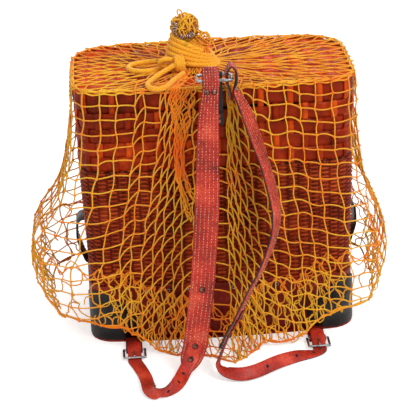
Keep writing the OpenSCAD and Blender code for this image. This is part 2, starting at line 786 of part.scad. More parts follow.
// A net panel: the hanging strip, len wide, cut by a lattice seen square on. It is drawn
// with its outward direction along +X and centred on Y.
module net_panel(line, wide) {
    out = max([for (p = line) p[0]]) + 2 * twine;
    foot = line[len(line) - 1][1];
    color(net_yellow) intersection() {
        translate([0, wide / 2, 0]) rotate([90, 0, 0]) linear_extrude(wide) polygon(strip(line));
        translate([-1, -wide / 2, foot]) rotate([90, 0, 90]) linear_extrude(out + 2)
            lattice(wide, net_top_z - foot);
    }
}

side_wide = basket_d - 2 * back_r + 30;
back_wide = half_w - net_parting - 10;

module net_skirt_side(side) {
    scale([side, 1, 1]) translate([half_w, 0, 0]) net_panel(side_line, side_wide);
}

module net_skirt_back(side) {
    x = side * (net_parting + back_wide / 2);
    translate([x, -half_d - back_bow, 0]) rotate([0, 0, -90]) net_panel(back_line, back_wide);
}

module net_skirt_front() {
    translate([0, half_d + front_bow, 0]) rotate([0, 0, 90])
        net_panel(front_line, 2 * (half_w - front_r) + 60);
}

// The neck of gathered net stands near the middle of the lid, towards the strap side.
neck_x = -24;
neck_y = -18;
neck_low_r = 34;
neck_top_r = 10;
neck_h = 42;
ball_shift = -8;
ball_z = net_top_z + neck_h + ball_r - 4;

module net_top() {
    color(net_yellow) translate([0, 0, net_z]) linear_extrude(twine) union() {
        intersection() {
            polygon(plan(edge_out));
            translate([-half_w - edge_out, -half_d - back_bow - edge_out])
                lattice(basket_w + 2 * edge_out, basket_d + 2 * (back_bow + edge_out));
        }
        difference() {
            polygon(plan(edge_out));
            polygon(plan(edge_out - 2 * twine));
        }
        translate([neck_x, neck_y]) circle(r = neck_low_r + 4);
    }
}

// Gathered folds of net between the lid and the ball, waisted where the cord holds it.
module net_neck() {
    color(net_yellow) translate([neck_x, neck_y, net_top_z]) rotate_extrude()
        polygon([[0, 0], [neck_low_r, 0], [26, 4], [22, 10], [21, 28], [16, 34],
            [neck_top_r, neck_h], [0, neck_h]]);
}

// The ball of gathered net at the top, flat where it sits on the neck.
module net_knot() {
    color(net_yellow) translate([neck_x + ball_shift, neck_y, ball_z]) intersection() {
        sphere(r = ball_r);
        translate([-ball_r, -ball_r, 4.1 - ball_r]) cube(2 * ball_r);
    }
}

// The mouth rings stand in a fan against the ball's left side.
module net_rings() {
    r = mouth_ring_wire / 2;
    fan_r = ball_r + mouth_ring_d / 2 + free;
    color(steel) translate([neck_x + ball_shift, neck_y, ball_z])
        for (i = [0:mouth_rings - 1])
            rotate([0, 64 + 56 * i / (mouth_rings - 1), 20]) translate([0, 0, -fan_r])
                rotate([90, 0, 90]) rotate_extrude()
                    translate([mouth_ring_d / 2 - r, 0]) circle(r = r);
}

// ---- Tie cord -----------------------------------------------------------------------------

// Turns round the neck: an oval helix, lower at the right, that narrows as it climbs.
wind_rx = 34;
wind_ry = 27;
wind_step = tie_d + 0.8;
wind_sides = 6;
wind_rings = 24;
wind_lean = 0.16;
wind_z = net_top_z + tie_d / 2 + seat;

function wind_point(k) =
    let (a = -60 + 360 * k / wind_rings, turn = k / wind_rings,
        rx = wind_rx - 1.5 * turn, ry = wind_ry - turn, x = rx * cos(a))
    [neck_x + x, neck_y + ry * sin(a),
        wind_z + wind_lean * (wind_rx - x) + turn * wind_step];
wind_points = [for (k = [0:tie_turns * wind_rings]) wind_point(k)];

// Least distance between turns, measured on points at least half a turn apart.
wind_gap = min([for (i = [0:len(wind_points) - 1], j = [0:len(wind_points) - 1])
    if (j > i + wind_rings / 2) norm(wind_points[i] - wind_points[j])]) - tie_d;
echo(str("least gap between turns of the tie cord: ", wind_gap));

module tie_winding() {
    color(cord_yellow) cord(wind_points, tie_d, wind_sides);
}

// The two loops of the bow lie on the net over the lid; heights are above that rest.
loop_rest = net_top_z + tie_d / 2 + free;
drop_route = [
    [-38, -54, 0.6], [-46, -68, 0], [-54, -84, 0], [-60, -100, 0], [-70, -110, -0.6],
    [-81, -106, -0.6], [-86, -92, 0], [-80, -78, 1], [-68, -66, 5], [-56, -58, 9], [-46, -52, 13]
];
long_route = [
    [-66, -30, 0], [-84, -37, 0], [-99, -34, 0], [-108, -22, 0], [-104, -8, 0],
    [-90, 0, 0], [-76, 1, 0.5], [-65, -4, 2.5]
];

module tie_loop(route) {
    color(cord_yellow) translate([0, 0, loop_rest]) cord(smooth(route, 3), tie_d, 8);
}

// ---- Assembly -----------------------------------------------------------------------------

base_sole();
leather_base();
corner_guard(-1, false);  // corner_guard_back_left
corner_guard(1, false);  // corner_guard_back_right
corner_guard(-1, true);  // corner_guard_front_left
corner_guard(1, true);  // corner_guard_front_right
base_eyelets();
basket_floor();
wall_weave();
wall_splints();
rim_hoop();
rim_collar();
hinge_strap(-1);  // hinge_strap_left
hinge_strap(1);  // hinge_strap_right
hinge_rivets();
ring_tab();
ring_tab_rivets();
shoulder_strap(left_stops);  // shoulder_strap_left
shoulder_strap(right_stops);  // shoulder_strap_right
lower_strap(left_lower_stops, -buckle_x);  // lower_strap_left
lower_strap(right_lower_stops, buckle_x);  // lower_strap_right
strap_rivets();
buckle_tab(-buckle_x);  // buckle_tab_left
buckle_tab(buckle_x);  // buckle_tab_right
side_loop(-1);  // side_loop_left
side_loop(1);  // side_loop_right
side_loop_rivets();
lid_panel();
lid_band();
hinge_leaf(-1);  // hinge_leaf_left
hinge_leaf(1);  // hinge_leaf_right
hinge_leaf_rivets();
net_top();
net_neck();
net_knot();
net_rings();
tie_winding();
tie_loop(drop_route);  // tie_loop_drop
tie_loop(long_route);  // tie_loop_long
net_skirt_side(-1);  // net_skirt_left
net_skirt_side(1);  // net_skirt_right
net_skirt_front();
net_skirt_back(-1);  // net_skirt_back_left
net_skirt_back(1);  // net_skirt_back_right
strap_ring();
buckle_frame(-buckle_x);  // buckle_frame_left
buckle_frame(buckle_x);  // buckle_frame_right
buckle_prong(-buckle_x);  // buckle_prong_left
buckle_prong(buckle_x);  // buckle_prong_right
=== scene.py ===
import math
import random
import bpy
import bmesh
from mathutils import Matrix, Vector


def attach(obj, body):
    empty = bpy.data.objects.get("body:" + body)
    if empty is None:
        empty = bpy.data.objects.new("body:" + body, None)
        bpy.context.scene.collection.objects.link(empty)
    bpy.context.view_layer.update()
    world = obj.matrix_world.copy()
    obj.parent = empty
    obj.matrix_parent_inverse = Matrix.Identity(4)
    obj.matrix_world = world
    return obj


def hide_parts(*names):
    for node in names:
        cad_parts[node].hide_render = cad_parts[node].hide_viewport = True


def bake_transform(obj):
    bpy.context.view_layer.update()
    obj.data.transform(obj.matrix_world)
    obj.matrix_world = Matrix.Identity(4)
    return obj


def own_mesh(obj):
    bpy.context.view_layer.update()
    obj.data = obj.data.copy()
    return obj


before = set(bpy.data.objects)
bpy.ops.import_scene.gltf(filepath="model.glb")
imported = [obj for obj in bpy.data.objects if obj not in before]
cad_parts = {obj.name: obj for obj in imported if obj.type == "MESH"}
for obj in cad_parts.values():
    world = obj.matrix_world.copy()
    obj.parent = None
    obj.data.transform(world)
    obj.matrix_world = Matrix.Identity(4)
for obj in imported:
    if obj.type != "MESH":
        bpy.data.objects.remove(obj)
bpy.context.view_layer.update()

# ---- Camera ----
# The creel is seen from the side that lies against the wearer, from a little above and with
# a long lens.
view = bpy.context.scene.view_settings
view.view_transform = "Standard"
camera_place = (-0.133, -2.2, 1.065)
yaw, pitch, roll = math.radians(3.2), math.radians(22.6), math.radians(-2.2)
look = Vector((math.sin(yaw) * math.cos(pitch), math.cos(yaw) * math.cos(pitch), -math.sin(pitch)))
level = Vector((math.cos(yaw), -math.sin(yaw), 0))
upright = level.cross(look)
right = level * math.cos(roll) + upright * math.sin(roll)
up = upright * math.cos(roll) - level * math.sin(roll)
lens = bpy.data.cameras.new("camera")
lens.sensor_width, lens.lens = 36, 151.4
camera = bpy.data.objects.new("camera", lens)
camera.matrix_world = Matrix([(right[i], up[i], -look[i], camera_place[i]) for i in range(3)]
                             + [(0, 0, 0, 1)])
bpy.context.collection.objects.link(camera)
bpy.context.scene.camera = camera

# ---- Tie cord ----
# A soft yellow cord, 7 mm thick, binds the gathered net over the lid. It goes five times round
# the neck and is knotted there beside a small loop. Its bow lies on the net in a short drop
# loop and a long loop, whose places are given with their heights over the net.
tie_d = 7
cord_rest = 360.1
drop_loop = [(-38, -54, 0.6), (-46, -68, 0), (-54, -84, 0), (-60, -100, 0), (-70, -110, -0.6),
             (-81, -106, -0.6), (-86, -92, 0), (-80, -78, 1), (-68, -66, 5), (-56, -58, 9),
             (-46, -52, 13)]
long_loop = [(-66, -30, 0), (-84, -37, 0), (-99, -34, 0), (-108, -22, 0), (-104, -8, 0),
             (-90, 0, 0), (-76, 1, 0.5), (-65, -4, 2.5)]


def paint(red, green, blue):
    """A colour as it looks on screen, in the values a shader takes."""
    def linear(c):
        return c / 12.92 if c <= 0.04045 else ((c + 0.055) / 1.055) ** 2.4
    return (linear(red), linear(green), linear(blue), 1)


class Finish:
    """A material under construction: its nodes, and what feeds their sockets."""

    def __init__(self, name, roughness, **sockets):
        self.material = bpy.data.materials.new(name)
        self.material.use_nodes = True
        self.nodes = self.material.node_tree.nodes
        self.surface = self.nodes["Principled BSDF"]
        for key, value in dict(sockets, Roughness=roughness).items():
            self.feed(self.surface.inputs[key.replace("_", " ")], value)

    def feed(self, socket, value):
        if isinstance(value, bpy.types.NodeSocket):
            self.material.node_tree.links.new(value, socket)
        else:
            socket.default_value = value

    def node(self, kind, group=None, **inputs):
        made = self.nodes.new(kind)
        if group:
            made.node_tree = group
        for key, value in inputs.items():
            self.feed(made.inputs[key], value)
        return made

    def maths(self, operation, a, b):
        made = self.nodes.new("ShaderNodeMath")
        made.operation = operation
        for socket, value in zip(made.inputs, (a, b)):
            self.feed(socket, value)
        return made.outputs[0]

    def attribute(self, name):
        made = self.nodes.new("ShaderNodeAttribute")
        made.attribute_name = name
        return made.outputs["Fac"]

    def place(self):
        return self.nodes.new("ShaderNodeTexCoord").outputs["Object"]

    def noise(self, scale, detail=2.0):
        return self.node("ShaderNodeTexNoise", Vector=self.place(), Scale=scale,
                         Detail=detail).outputs["Fac"]

    def stain(self, value, *stops):
        """Colours the surface by a value, through stops of (value, colour)."""
        made = self.nodes.new("ShaderNodeValToRGB")
        self.feed(made.inputs[0], value)
        while len(made.color_ramp.elements) < len(stops):
            made.color_ramp.elements.new(0.5)
        for element, (at, colour) in zip(made.color_ramp.elements, stops):
            element.position = at
            element.color = colour
        self.feed(self.surface.inputs["Base Color"], made.outputs[0])

    def relief(self, height, strength, distance):
        made = self.node("ShaderNodeBump", Strength=strength, Distance=distance, Height=height)
        self.feed(self.surface.inputs["Normal"], made.outputs["Normal"])


def shader_group(name, inputs, outputs):
    """A node group with its sockets, and the sockets inside it that they are joined to."""
    group = bpy.data.node_groups.new(name, "ShaderNodeTree")
    for names, way in ((inputs, "INPUT"), (outputs, "OUTPUT")):
        for socket in names:
            kind = "NodeSocketVector" if socket == "Vector" else "NodeSocketFloat"
            group.interface.new_socket(socket, in_out=way, socket_type=kind)
    way_in, way_out = group.nodes.new("NodeGroupInput"), group.nodes.new("NodeGroupOutput")
    return group, way_in.outputs, way_out.inputs


# The lay of twisted strands: stripes that climb round a cord, from its own attributes.
lay, lay_in, lay_out = shader_group("strand_lay", ("Along", "Around", "Pitch"), ("Height",))
lay_steps = []
for operation in ("DIVIDE", "ADD", "MULTIPLY", "SINE", "ABSOLUTE"):
    step = lay.nodes.new("ShaderNodeMath")
    step.operation = operation
    if lay_steps:
        lay.links.new(lay_steps[-1].outputs[0], step.inputs[0])
    lay_steps.append(step)
lay.links.new(lay_in["Along"], lay_steps[0].inputs[0])
lay.links.new(lay_in["Pitch"], lay_steps[0].inputs[1])
lay.links.new(lay_in["Around"], lay_steps[1].inputs[1])
lay_steps[2].inputs[1].default_value = 3 * math.pi
lay.links.new(lay_steps[4].outputs[0], lay_out["Height"])


def strand_finish(name, dark, light, pitch, depth):
    made = Finish(name, 0.7, Sheen_Weight=0.15, Specular_IOR_Level=0.25)
    height = made.node("ShaderNodeGroup", lay, Along=made.attribute("along"),
                       Around=made.attribute("around"), Pitch=pitch).outputs["Height"]
    fuzz, light_patches = made.noise(220.0, 3.0), made.noise(11.0)
    # colour: lighter on the crests of the lay and darker in its grooves, and in large patches of
    # yellow and orange, as painted light and shade; the fine fuzz is the twine's own
    shade = made.maths("ADD", made.maths("MULTIPLY", height, 0.3), made.maths(
        "ADD", made.maths("MULTIPLY", fuzz, 0.3), made.maths("MULTIPLY", light_patches, 0.8)))
    made.stain(shade, (0.42, dark), (0.95, light))
    made.relief(height, 0.7, depth)
    return made.material


cord_finish = strand_finish("tie_cord", paint(1, 0.56, 0.03), paint(1, 0.79, 0.2), 0.012, 0.0008)


def between(stops, i, t):
    """A place part t of the way from stop i to the next, on a smooth run through all stops."""
    a, b, c, d = (stops[min(max(k, 0), len(stops) - 1)] for k in (i - 1, i, i + 1, i + 2))
    return tuple(0.5 * (2 * q + (r - p) * t + (2 * p - 5 * q + 4 * r - s) * t * t
                        + (3 * q - p - 3 * r + s) * t ** 3) for p, q, r, s in zip(a, b, c, d))


def smooth_run(stops, steps):
    """A smooth run through stops, each a tuple of numbers."""
    run = [between(stops, i, k / steps) for i in range(len(stops) - 1) for k in range(steps)]
    return run + [tuple(stops[-1])]


def fit(name, mesh, finishes, body, nodes):
    """Puts a finished mesh in the scene, on its body, in the place of its nodes."""
    piece = bpy.data.objects.new(name, mesh)
    bpy.context.collection.objects.link(piece)
    for finish in finishes:
        mesh.materials.append(finish)
    mesh.polygons.foreach_set("use_smooth", [True] * len(mesh.polygons))
    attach(piece, body)
    if nodes:
        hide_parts(*nodes)
    return piece


def strands(name, runs, thickness, closed=False, resolution=1, tones=None):
    """Round strands along runs of places in millimetres, with a tone for each place."""
    line = bpy.data.curves.new(name, "CURVE")
    line.dimensions = "3D"
    line.bevel_depth = thickness / 2000
    line.bevel_resolution = resolution
    line.use_fill_caps = not closed
    for run in runs:
        spline = line.splines.new("POLY")
        spline.points.add(len(run) - 1)
        for point, p in zip(spline.points, run):
            point.co = (p[0] / 1000, p[1] / 1000, p[2] / 1000, 1)
        spline.use_cyclic_u = closed
    holder = bpy.data.objects.new(name + "_line", line)
    bpy.context.collection.objects.link(holder)
    ready = holder.evaluated_get(bpy.context.evaluated_depsgraph_get())
    mesh = bpy.data.meshes.new_from_object(ready)
    bpy.data.objects.remove(holder)
    mesh.name = name
    sides, count = 2 * resolution + 4, len(mesh.vertices)
    along, around, tone = [], [], []
    for number, run in enumerate(runs):
        far = 0.0
        for i, p in enumerate(run):
            if i:
                far += (Vector(p[:3]) - Vector(run[i - 1][:3])).length / 1000
            along += [far] * sides
            around += [abs(2 * k / sides - 1) for k in range(sides)]
            tone += [tones[number][i] if tones else 0.5] * sides
    for key, values, rest in (("along", along, 0.0), ("around", around, 0.0), ("tone", tone, 0.5)):
        values = (values + [rest] * count)[:count]
        mesh.attributes.new(key, "FLOAT", "POINT").data.foreach_set("value", values)
    return mesh


for name, route, length in (("tie_loop_drop", drop_loop, 0.153),
                            ("tie_loop_long", long_loop, 0.108)):
    run = [(x, y, z + cord_rest) for x, y, z in smooth_run(route, 4)]
    loop = fit(name + "_cord", strands(name, [run], tie_d, resolution=3), [cord_finish], "lid",
               [name])

neck_x, neck_y = -24, -18
turns, per_turn = 5, 40
wound_x, wound_y, wound_foot, wound_rise = 34, 27, 359.9, 5.2
winding = []
for k in range(turns * per_turn + 1):
    turn = k / per_turn
    angle = math.radians(-60 + 360 * turn)
    x = (wound_x - 1.9 * turn) * math.cos(angle)
    winding.append((neck_x + x, neck_y + (wound_y - 1.5 * turn) * math.sin(angle),
                    wound_foot + 0.1 * (wound_x - x)
                    + wound_rise * turn * (1 - 0.62 * x / wound_x)))
knot_turns, per_knot, knot_z = 3, 24, 371
bow = []
for k in range(knot_turns * per_knot + 1):
    angle = math.tau * k / per_knot
    bow.append((-47 + 3.4 * k / per_knot, -45 + 9 * math.cos(angle),
                knot_z + 8 * math.sin(angle)))
small_loop = [(-58 + 9.5 * math.cos(a), -40 - 3 * math.sin(a), knot_z + 5.5 * math.sin(a))
              for a in (math.tau * k / per_knot for k in range(per_knot + 1))]
fit("tie_winding_cord", strands("tie_winding", [winding, bow, small_loop], tie_d, resolution=3),
    [cord_finish], "lid", ["tie_winding"])

# ---- Leather base and sole ----
# The lower 80 mm of the basket is covered with maroon leather, glued over the wicker and
# closed by a rolled top edge. A leather sole, a little larger, makes a welt round the foot.
width_half, depth_half, back_bow, front_bow = 180, 95, 6, 4
back_r, front_r = 36, 55
base_foot, base_top = 3.2, 80
bend_back, bend_front = back_r * math.pi / 2, front_r * math.pi / 2
at_bend = width_half - back_r
at_side = at_bend + bend_back
at_far_bend = at_side + 2 * depth_half - back_r - front_r
at_far = at_far_bend + bend_front
half_round = at_far + width_half - front_r


def long_side(x, radius, bow):
    """How far out a long side stands at x: it is bowed between its two corners."""
    return depth_half + bow * (1 - (x / (width_half - radius)) ** 2)


def wrapped(s):
    """A distance round the basket, left or right of the middle of the strap side."""
    return (s + half_round) % (2 * half_round) - half_round


def part_round(k, steps):
    """The distance round the basket at one of so many equal steps."""
    return -half_round + 2 * half_round * k / steps


def on_plan(s, g=0):
    """A place on the basket's outline, s round from the middle of the strap side, grown by g."""
    s = wrapped(s)
    side, s = (1 if s >= 0 else -1), abs(s)
    if s <= at_bend:
        x, y, nx, ny = s, -long_side(s, back_r, back_bow), 0, -1
    elif s <= at_side:
        a = (s - at_bend) / back_r
        nx, ny = math.sin(a), -math.cos(a)
        x, y = at_bend + back_r * nx, back_r - depth_half + back_r * ny
    elif s <= at_far_bend:
        x, y, nx, ny = width_half, back_r - depth_half + s - at_side, 1, 0
    elif s <= at_far:
        a = (s - at_far_bend) / front_r
        nx, ny = math.cos(a), math.sin(a)
        x, y = width_half - front_r + front_r * nx, depth_half - front_r + front_r * ny
    else:
        x, nx, ny = width_half - front_r - (s - at_far), 0, 1
        y = long_side(x, front_r, front_bow)
    return side * (x + g * nx), y + g * ny


def sweep(bm, stages, loop=False, tones=None, lined=()):
    """Carries sections along their way: stages[step][line] is a section of places in mm.
    The lined sides of a section get the second finish."""
    tone = bm.verts.layers.float.get("tone") or bm.verts.layers.float.new("tone")
    along = bm.verts.layers.float.get("along") or bm.verts.layers.float.new("along")
    lines = [[bm.verts.new(Vector(p) / 1000) for p in section] for section in stages[0]]
    edges = [bm.edges.new((line[i - 1], line[i])) for line in lines for i in range(len(line))]
    carried = [lines]
    for step, stage in enumerate(stages[1:] + (stages[:1] if loop else [])):
        made = bmesh.ops.extrude_edge_only(bm, edges=edges)["geom"]
        fresh = {e for e in made if isinstance(e, bmesh.types.BMVert)}
        lines = [[next(e.other_vert(v) for e in v.link_edges if e.other_vert(v) in fresh)
                  for v in line] for line in lines]
        edges = [e for e in made if isinstance(e, bmesh.types.BMEdge)
                 and e.verts[0] in fresh and e.verts[1] in fresh]
        for line, section in zip(lines, stage):
            for v, p in zip(line, section):
                v.co = Vector(p) / 1000
                v[along] = step
            for k in lined:
                a, b = line[k], line[(k + 1) % len(line)]
                for face in a.link_faces:
                    if b in face.verts:
                        face.material_index = 1
        carried.append(lines)
    for stage in carried:
        for number, line in enumerate(stage):
            for v in line:
                v[tone] = tones[number] if tones else 0.5
    if loop:
        bmesh.ops.remove_doubles(bm, verts=[v for stage in carried for line in stage for v in line],
                                 dist=1e-6)
    else:
        for line in carried[0] + carried[-1]:
            bm.faces.new(line)


def closed(name, bm):
    """The mesh of a finished bmesh, its faces outwards."""
    bmesh.ops.recalc_face_normals(bm, faces=bm.faces)
    mesh = bpy.data.meshes.new(name)
    bm.to_mesh(mesh)
    bm.free()
    return mesh


def round_plan(bm, outline, steps=216, tones=None):
    """Carries sections of (growth, height) all the way round the basket."""
    stages = []
    for s in (part_round(k, steps) for k in range(steps)):
        stages.append([[(*on_plan(s, g), z) for g, z in section(s)] for section in outline])
    sweep(bm, stages, loop=True, tones=tones)


# Pebbled leather: small rounded cells over a slow mottling.
pebble, pebble_in, pebble_out = shader_group("leather_pebble", ("Vector", "Scale"),
                                             ("Height", "Mottle"))
cells = pebble.nodes.new("ShaderNodeTexVoronoi")
cells.feature = "SMOOTH_F1"
mottle = pebble.nodes.new("ShaderNodeTexNoise")
mottle.inputs["Scale"].default_value = 28
mottle.inputs["Detail"].default_value = 5
for texture in (cells, mottle):
    pebble.links.new(pebble_in["Vector"], texture.inputs["Vector"])
pebble.links.new(pebble_in["Scale"], cells.inputs["Scale"])
pebble.links.new(cells.outputs["Distance"], pebble_out["Height"])
pebble.links.new(mottle.outputs["Fac"], pebble_out["Mottle"])


def leather_finish(name, dark, middle, light, scale, roughness, depth, **sockets):
    made = Finish(name, roughness, Specular_IOR_Level=0.3, **sockets)
    grain = made.node("ShaderNodeGroup", pebble, Vector=made.place(), Scale=scale).outputs
    # the colour is darker where the pebbles meet, as painted shade in the creases, over a mottle of
    # its own
    shade = made.maths("ADD", made.maths("MULTIPLY", grain["Height"], -0.25), grain["Mottle"])
    made.stain(shade, (0.15, dark), (0.42, middle), (0.65, light))
    made.relief(grain["Height"], 0.6, depth)
    return made.material


maroon_leather = leather_finish("maroon_leather", paint(0.3, 0.05, 0.04), paint(0.54, 0.13, 0.09),
                                paint(0.7, 0.22, 0.15), 420.0, 0.42, -0.0005, Coat_Weight=0.15,
                                Coat_Roughness=0.3, Specular_Tint=(1, 0.6, 0.45, 1))

base_growth = -3.4
bm = bmesh.new()
round_plan(bm, [lambda s: [(base_growth + g, z) for g, z in (
    (0, base_foot), (0, 30), (0.6, 60), (0, base_top - 2.2), (0.4, base_top - 1),
    (-0.5, base_top), (-2.1, base_top - 0.4), (-2.5, base_top - 3), (-2.5, base_foot))]])
fit("base_leather", closed("base_leather", bm), [maroon_leather], "creel", ["leather_base"])


def clad(finish, *names):
    """Gives its finish to each piece that shows as it comes from the CAD."""
    for name in names:
        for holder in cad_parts[name].material_slots:
            holder.material = finish


clad(maroon_leather, "base_sole")

# ---- Corner guards ----
# Each lower corner is covered with black leather, cut in a quarter round about the corner's
# foot. It is glued over the base, with its top edge turned in.
black_leather = leather_finish("black_leather", paint(0.01, 0.01, 0.015),
                               paint(0.045, 0.05, 0.06), paint(0.12, 0.14, 0.17), 520.0, 0.34,
                               -0.0004, Coat_Weight=0.25, Coat_Roughness=0.22)
guard_growth, guard_reach, guard_foot, guard_top, guard_steps = -1.3, 71, 3.4, 74, 30
guard_ends = (("back", back_r, guard_reach, -depth_half, at_bend + bend_back / 2),
              ("front", front_r, guard_reach + (front_r - back_r) / 2, depth_half,
               at_far_bend + bend_front / 2))
for side, where in ((-1, "left"), (1, "right")):
    for end, radius, reach, corner_y, middle in guard_ends:
        corner = Vector((side * width_half, corner_y))
        span = reach * 1.12 + radius * 0.12
        stages = []
        for k in range(2 * guard_steps + 1):
            s = side * (middle + span * (k / guard_steps - 1))
            away = (Vector(on_plan(s, guard_growth)) - corner).length
            if away > reach - 2:
                continue
            top = min(3 + math.sqrt(reach ** 2 - away ** 2), guard_top)
            stages.append([[(*on_plan(s, guard_growth + g), z) for g, z in
                            ((0, guard_foot), (0, top * 0.5 + 1.7), (0.3, top - 2.4),
                             (0, top - 0.7), (-0.8, top), (-1.9, top - 0.5),
                             (-1.9, guard_foot))]])
        bm = bmesh.new()
        sweep(bm, stages)
        name = "corner_guard_%s_%s" % (end, where)
        fit(name + "_leather", closed(name, bm), [black_leather], "creel", [name])

# ---- Eyelets ----
# Small bright eyelets are pressed through the base along its top edge, on both long sides.
# The foot of the net is laced to them.
eyelet_z, eyelet_gap, eyelet_r, eyelet_wire = 72.8, 29, 2.4, 1.2


def flecked_finish(name, roughness, scale, detail, dark, light, dent=0, **sockets):
    """A plain finish, flecked between two colours, each given with its place on the scale."""
    made = Finish(name, roughness, **sockets)
    fleck = made.noise(scale, detail)
    made.stain(fleck, dark, light)
    if dent:
        made.relief(fleck, 0.15, dent)
    return made.material


steel = flecked_finish("steel", 0.24, 160.0, 4.0, (0.3, paint(0.4, 0.4, 0.42)),
                       (0.62, paint(0.74, 0.75, 0.77)), dent=0.0002, Metallic=1.0)


def wire_ring(bm, centre, axis, big, thickness, around=20, section=8):
    """A ring of wire about an axis, spun from a small circle. Millimetres."""
    axis = Vector(axis).normalized()
    turn = Vector((0, 0, 1)).rotation_difference(axis).to_matrix().to_4x4()
    centre = Vector(centre) / 1000
    made = bmesh.ops.create_circle(
        bm, cap_ends=False, segments=section, radius=thickness / 2000,
        matrix=Matrix.Translation(centre) @ turn @ Matrix.Translation((big / 1000, 0, 0))
        @ Matrix.Rotation(math.pi / 2, 4, "X"))["verts"]
    edges = list({e for v in made for e in v.link_edges})
    bmesh.ops.spin(bm, geom=list(made) + edges, cent=centre, axis=axis, angle=2 * math.pi,
                   steps=around, use_merge=True)


bm = bmesh.new()
for side in (-1, 1):
    for i in range(5):
        x = side * eyelet_gap * (i + 0.5)
        if abs(x) < width_half - front_r:
            for facing, radius, bulge in ((1, front_r, front_bow), (-1, back_r, back_bow)):
                y = facing * (long_side(x, radius, bulge) + base_growth + 0.6)
                wire_ring(bm, (x, y, eyelet_z), (0, facing, 0), eyelet_r, eyelet_wire)
fit("eyelet_rings", closed("eyelet_rings", bm), [steel], "creel", ["base_eyelets"])

# ---- Lacquered wicker: canes and stakes ----
# The wall is plain weave: round canes pass before and behind upright stakes, 14 mm apart
# round the basket. All of it is stained red-brown and lacquered.
wall_stakes, per_stake = 74, 8
wall_pitch = 2 * half_round / wall_stakes
cane_pitch, cane_d, cane_swing, cane_sink = 2.9, 3.1, 1.25, 1.6
wall_taper, wall_foot, weave_middle, weave_top = 6, 5, 162.1, 246
pick = random.Random(4)


def lacquer_finish(name, dark, middle, light, roughness, coat):
    made = Finish(name, roughness, Coat_Weight=coat, Coat_Roughness=0.12, Specular_IOR_Level=0.2,
                  Specular_Tint=(1, 0.5, 0.25, 1))
    fibre, stain = made.noise(90.0, 6.0), made.noise(14.0, 3.0)
    # the tone attribute carries each piece's own stain, and also painted shade: on the canes where
    # they dive, and on the wall's dark skin
    shade = made.maths("ADD", made.attribute("tone"), made.maths(
        "ADD", made.maths("MULTIPLY", made.maths("SUBTRACT", fibre, 0.5), 0.5),
        made.maths("MULTIPLY", made.maths("SUBTRACT", stain, 0.5), 0.6)))
    made.stain(shade, (0.1, dark), (0.5, middle), (0.9, light))
    made.relief(fibre, 0.25, 0.0006)
    return made.material


wicker = lacquer_finish("lacquered_wicker", paint(0.13, 0.015, 0.01), paint(0.6, 0.18, 0.07),
                        paint(0.86, 0.38, 0.18), 0.44, 0.08)
splint = lacquer_finish("lacquered_splint", paint(0.24, 0.03, 0.0), paint(0.6, 0.15, 0.03),
                        paint(0.9, 0.34, 0.08), 0.4, 0.06)


def wall_growth(z):
    """The wall is smaller at its foot and widens from the base's top edge upwards."""
    up_wall = min(max((z - base_top) / (weave_top - base_top), 0), 1)
    return -wall_taper * (1 - up_wall)


def cane_row(number, z):
    run = []
    for k in range(wall_stakes * per_stake):
        s = part_round(k + 0.5, wall_stakes * per_stake)
        swing = cane_swing * math.cos(math.pi * (s + half_round) / wall_pitch + math.pi * number)
        run.append((*on_plan(s, wall_growth(z) - cane_sink + swing), z))
    return run


def cane_tones():
    """Painted shade where a cane dives between two stakes; elsewhere a stain of its own."""
    own = 0.52 + 0.14 * pick.random()
    turn = [abs(math.cos(math.pi * (k + 0.5) / per_stake)) for k in range(per_stake)]
    # a tone of 0.3 is painted shade, where the cane turns back between the stakes
    return [0.3 if turn[k % per_stake] < 0.5 else own for k in range(wall_stakes * per_stake)]


for name, low, high, first_row in (("cane_wall", weave_middle, weave_top, 29),
                                   ("cane_wall_low", base_top - 2, weave_middle + 0.01, 0),
                                   ("cane_wall_foot", wall_foot, base_top - 2, 0)):
    rows = [low + cane_pitch * (i + 0.5) for i in range(int((high - low) / cane_pitch))]
    mesh = strands(name, [cane_row(first_row + i, z) for i, z in enumerate(rows)], cane_d,
                   closed=True, resolution=0, tones=[cane_tones() for z in rows])
    fit(name, mesh, [wicker], "creel", ["wall_weave"])

bm = bmesh.new()
stages = []
for z in (4, 40, 80, 120, 160, 200, weave_top):
    stages.append([[(*on_plan(part_round(i, wall_stakes) + d, wall_growth(z) - cane_sink + g), z)
                    for d, g in ((-2.8, -0.6), (2.8, -0.6), (2.8, 0.5), (-2.8, 0.5))]
                   for i in range(wall_stakes)])
sweep(bm, stages, tones=[0.2 + 0.3 * pick.random() for i in range(wall_stakes)])
fit("wall_stakes", closed("wall_stakes", bm), [wicker], "creel", [])

# a thin dark skin in the middle of the weave keeps light from falling through it; its near-black
# colour is painted shade, seen between the canes
bm = bmesh.new()
round_plan(bm, [lambda s: [(wall_growth(z) - cane_sink + g, z) for g, z in
                           ((0.15, wall_foot), (0.15, base_top), (0.15, weave_top),
                            (-0.15, weave_top), (-0.15, base_top), (-0.15, wall_foot))]],
           tones=[0.05])
fit("wall_shade_skin", closed("wall_shade_skin", bm), [wicker], "creel", [])

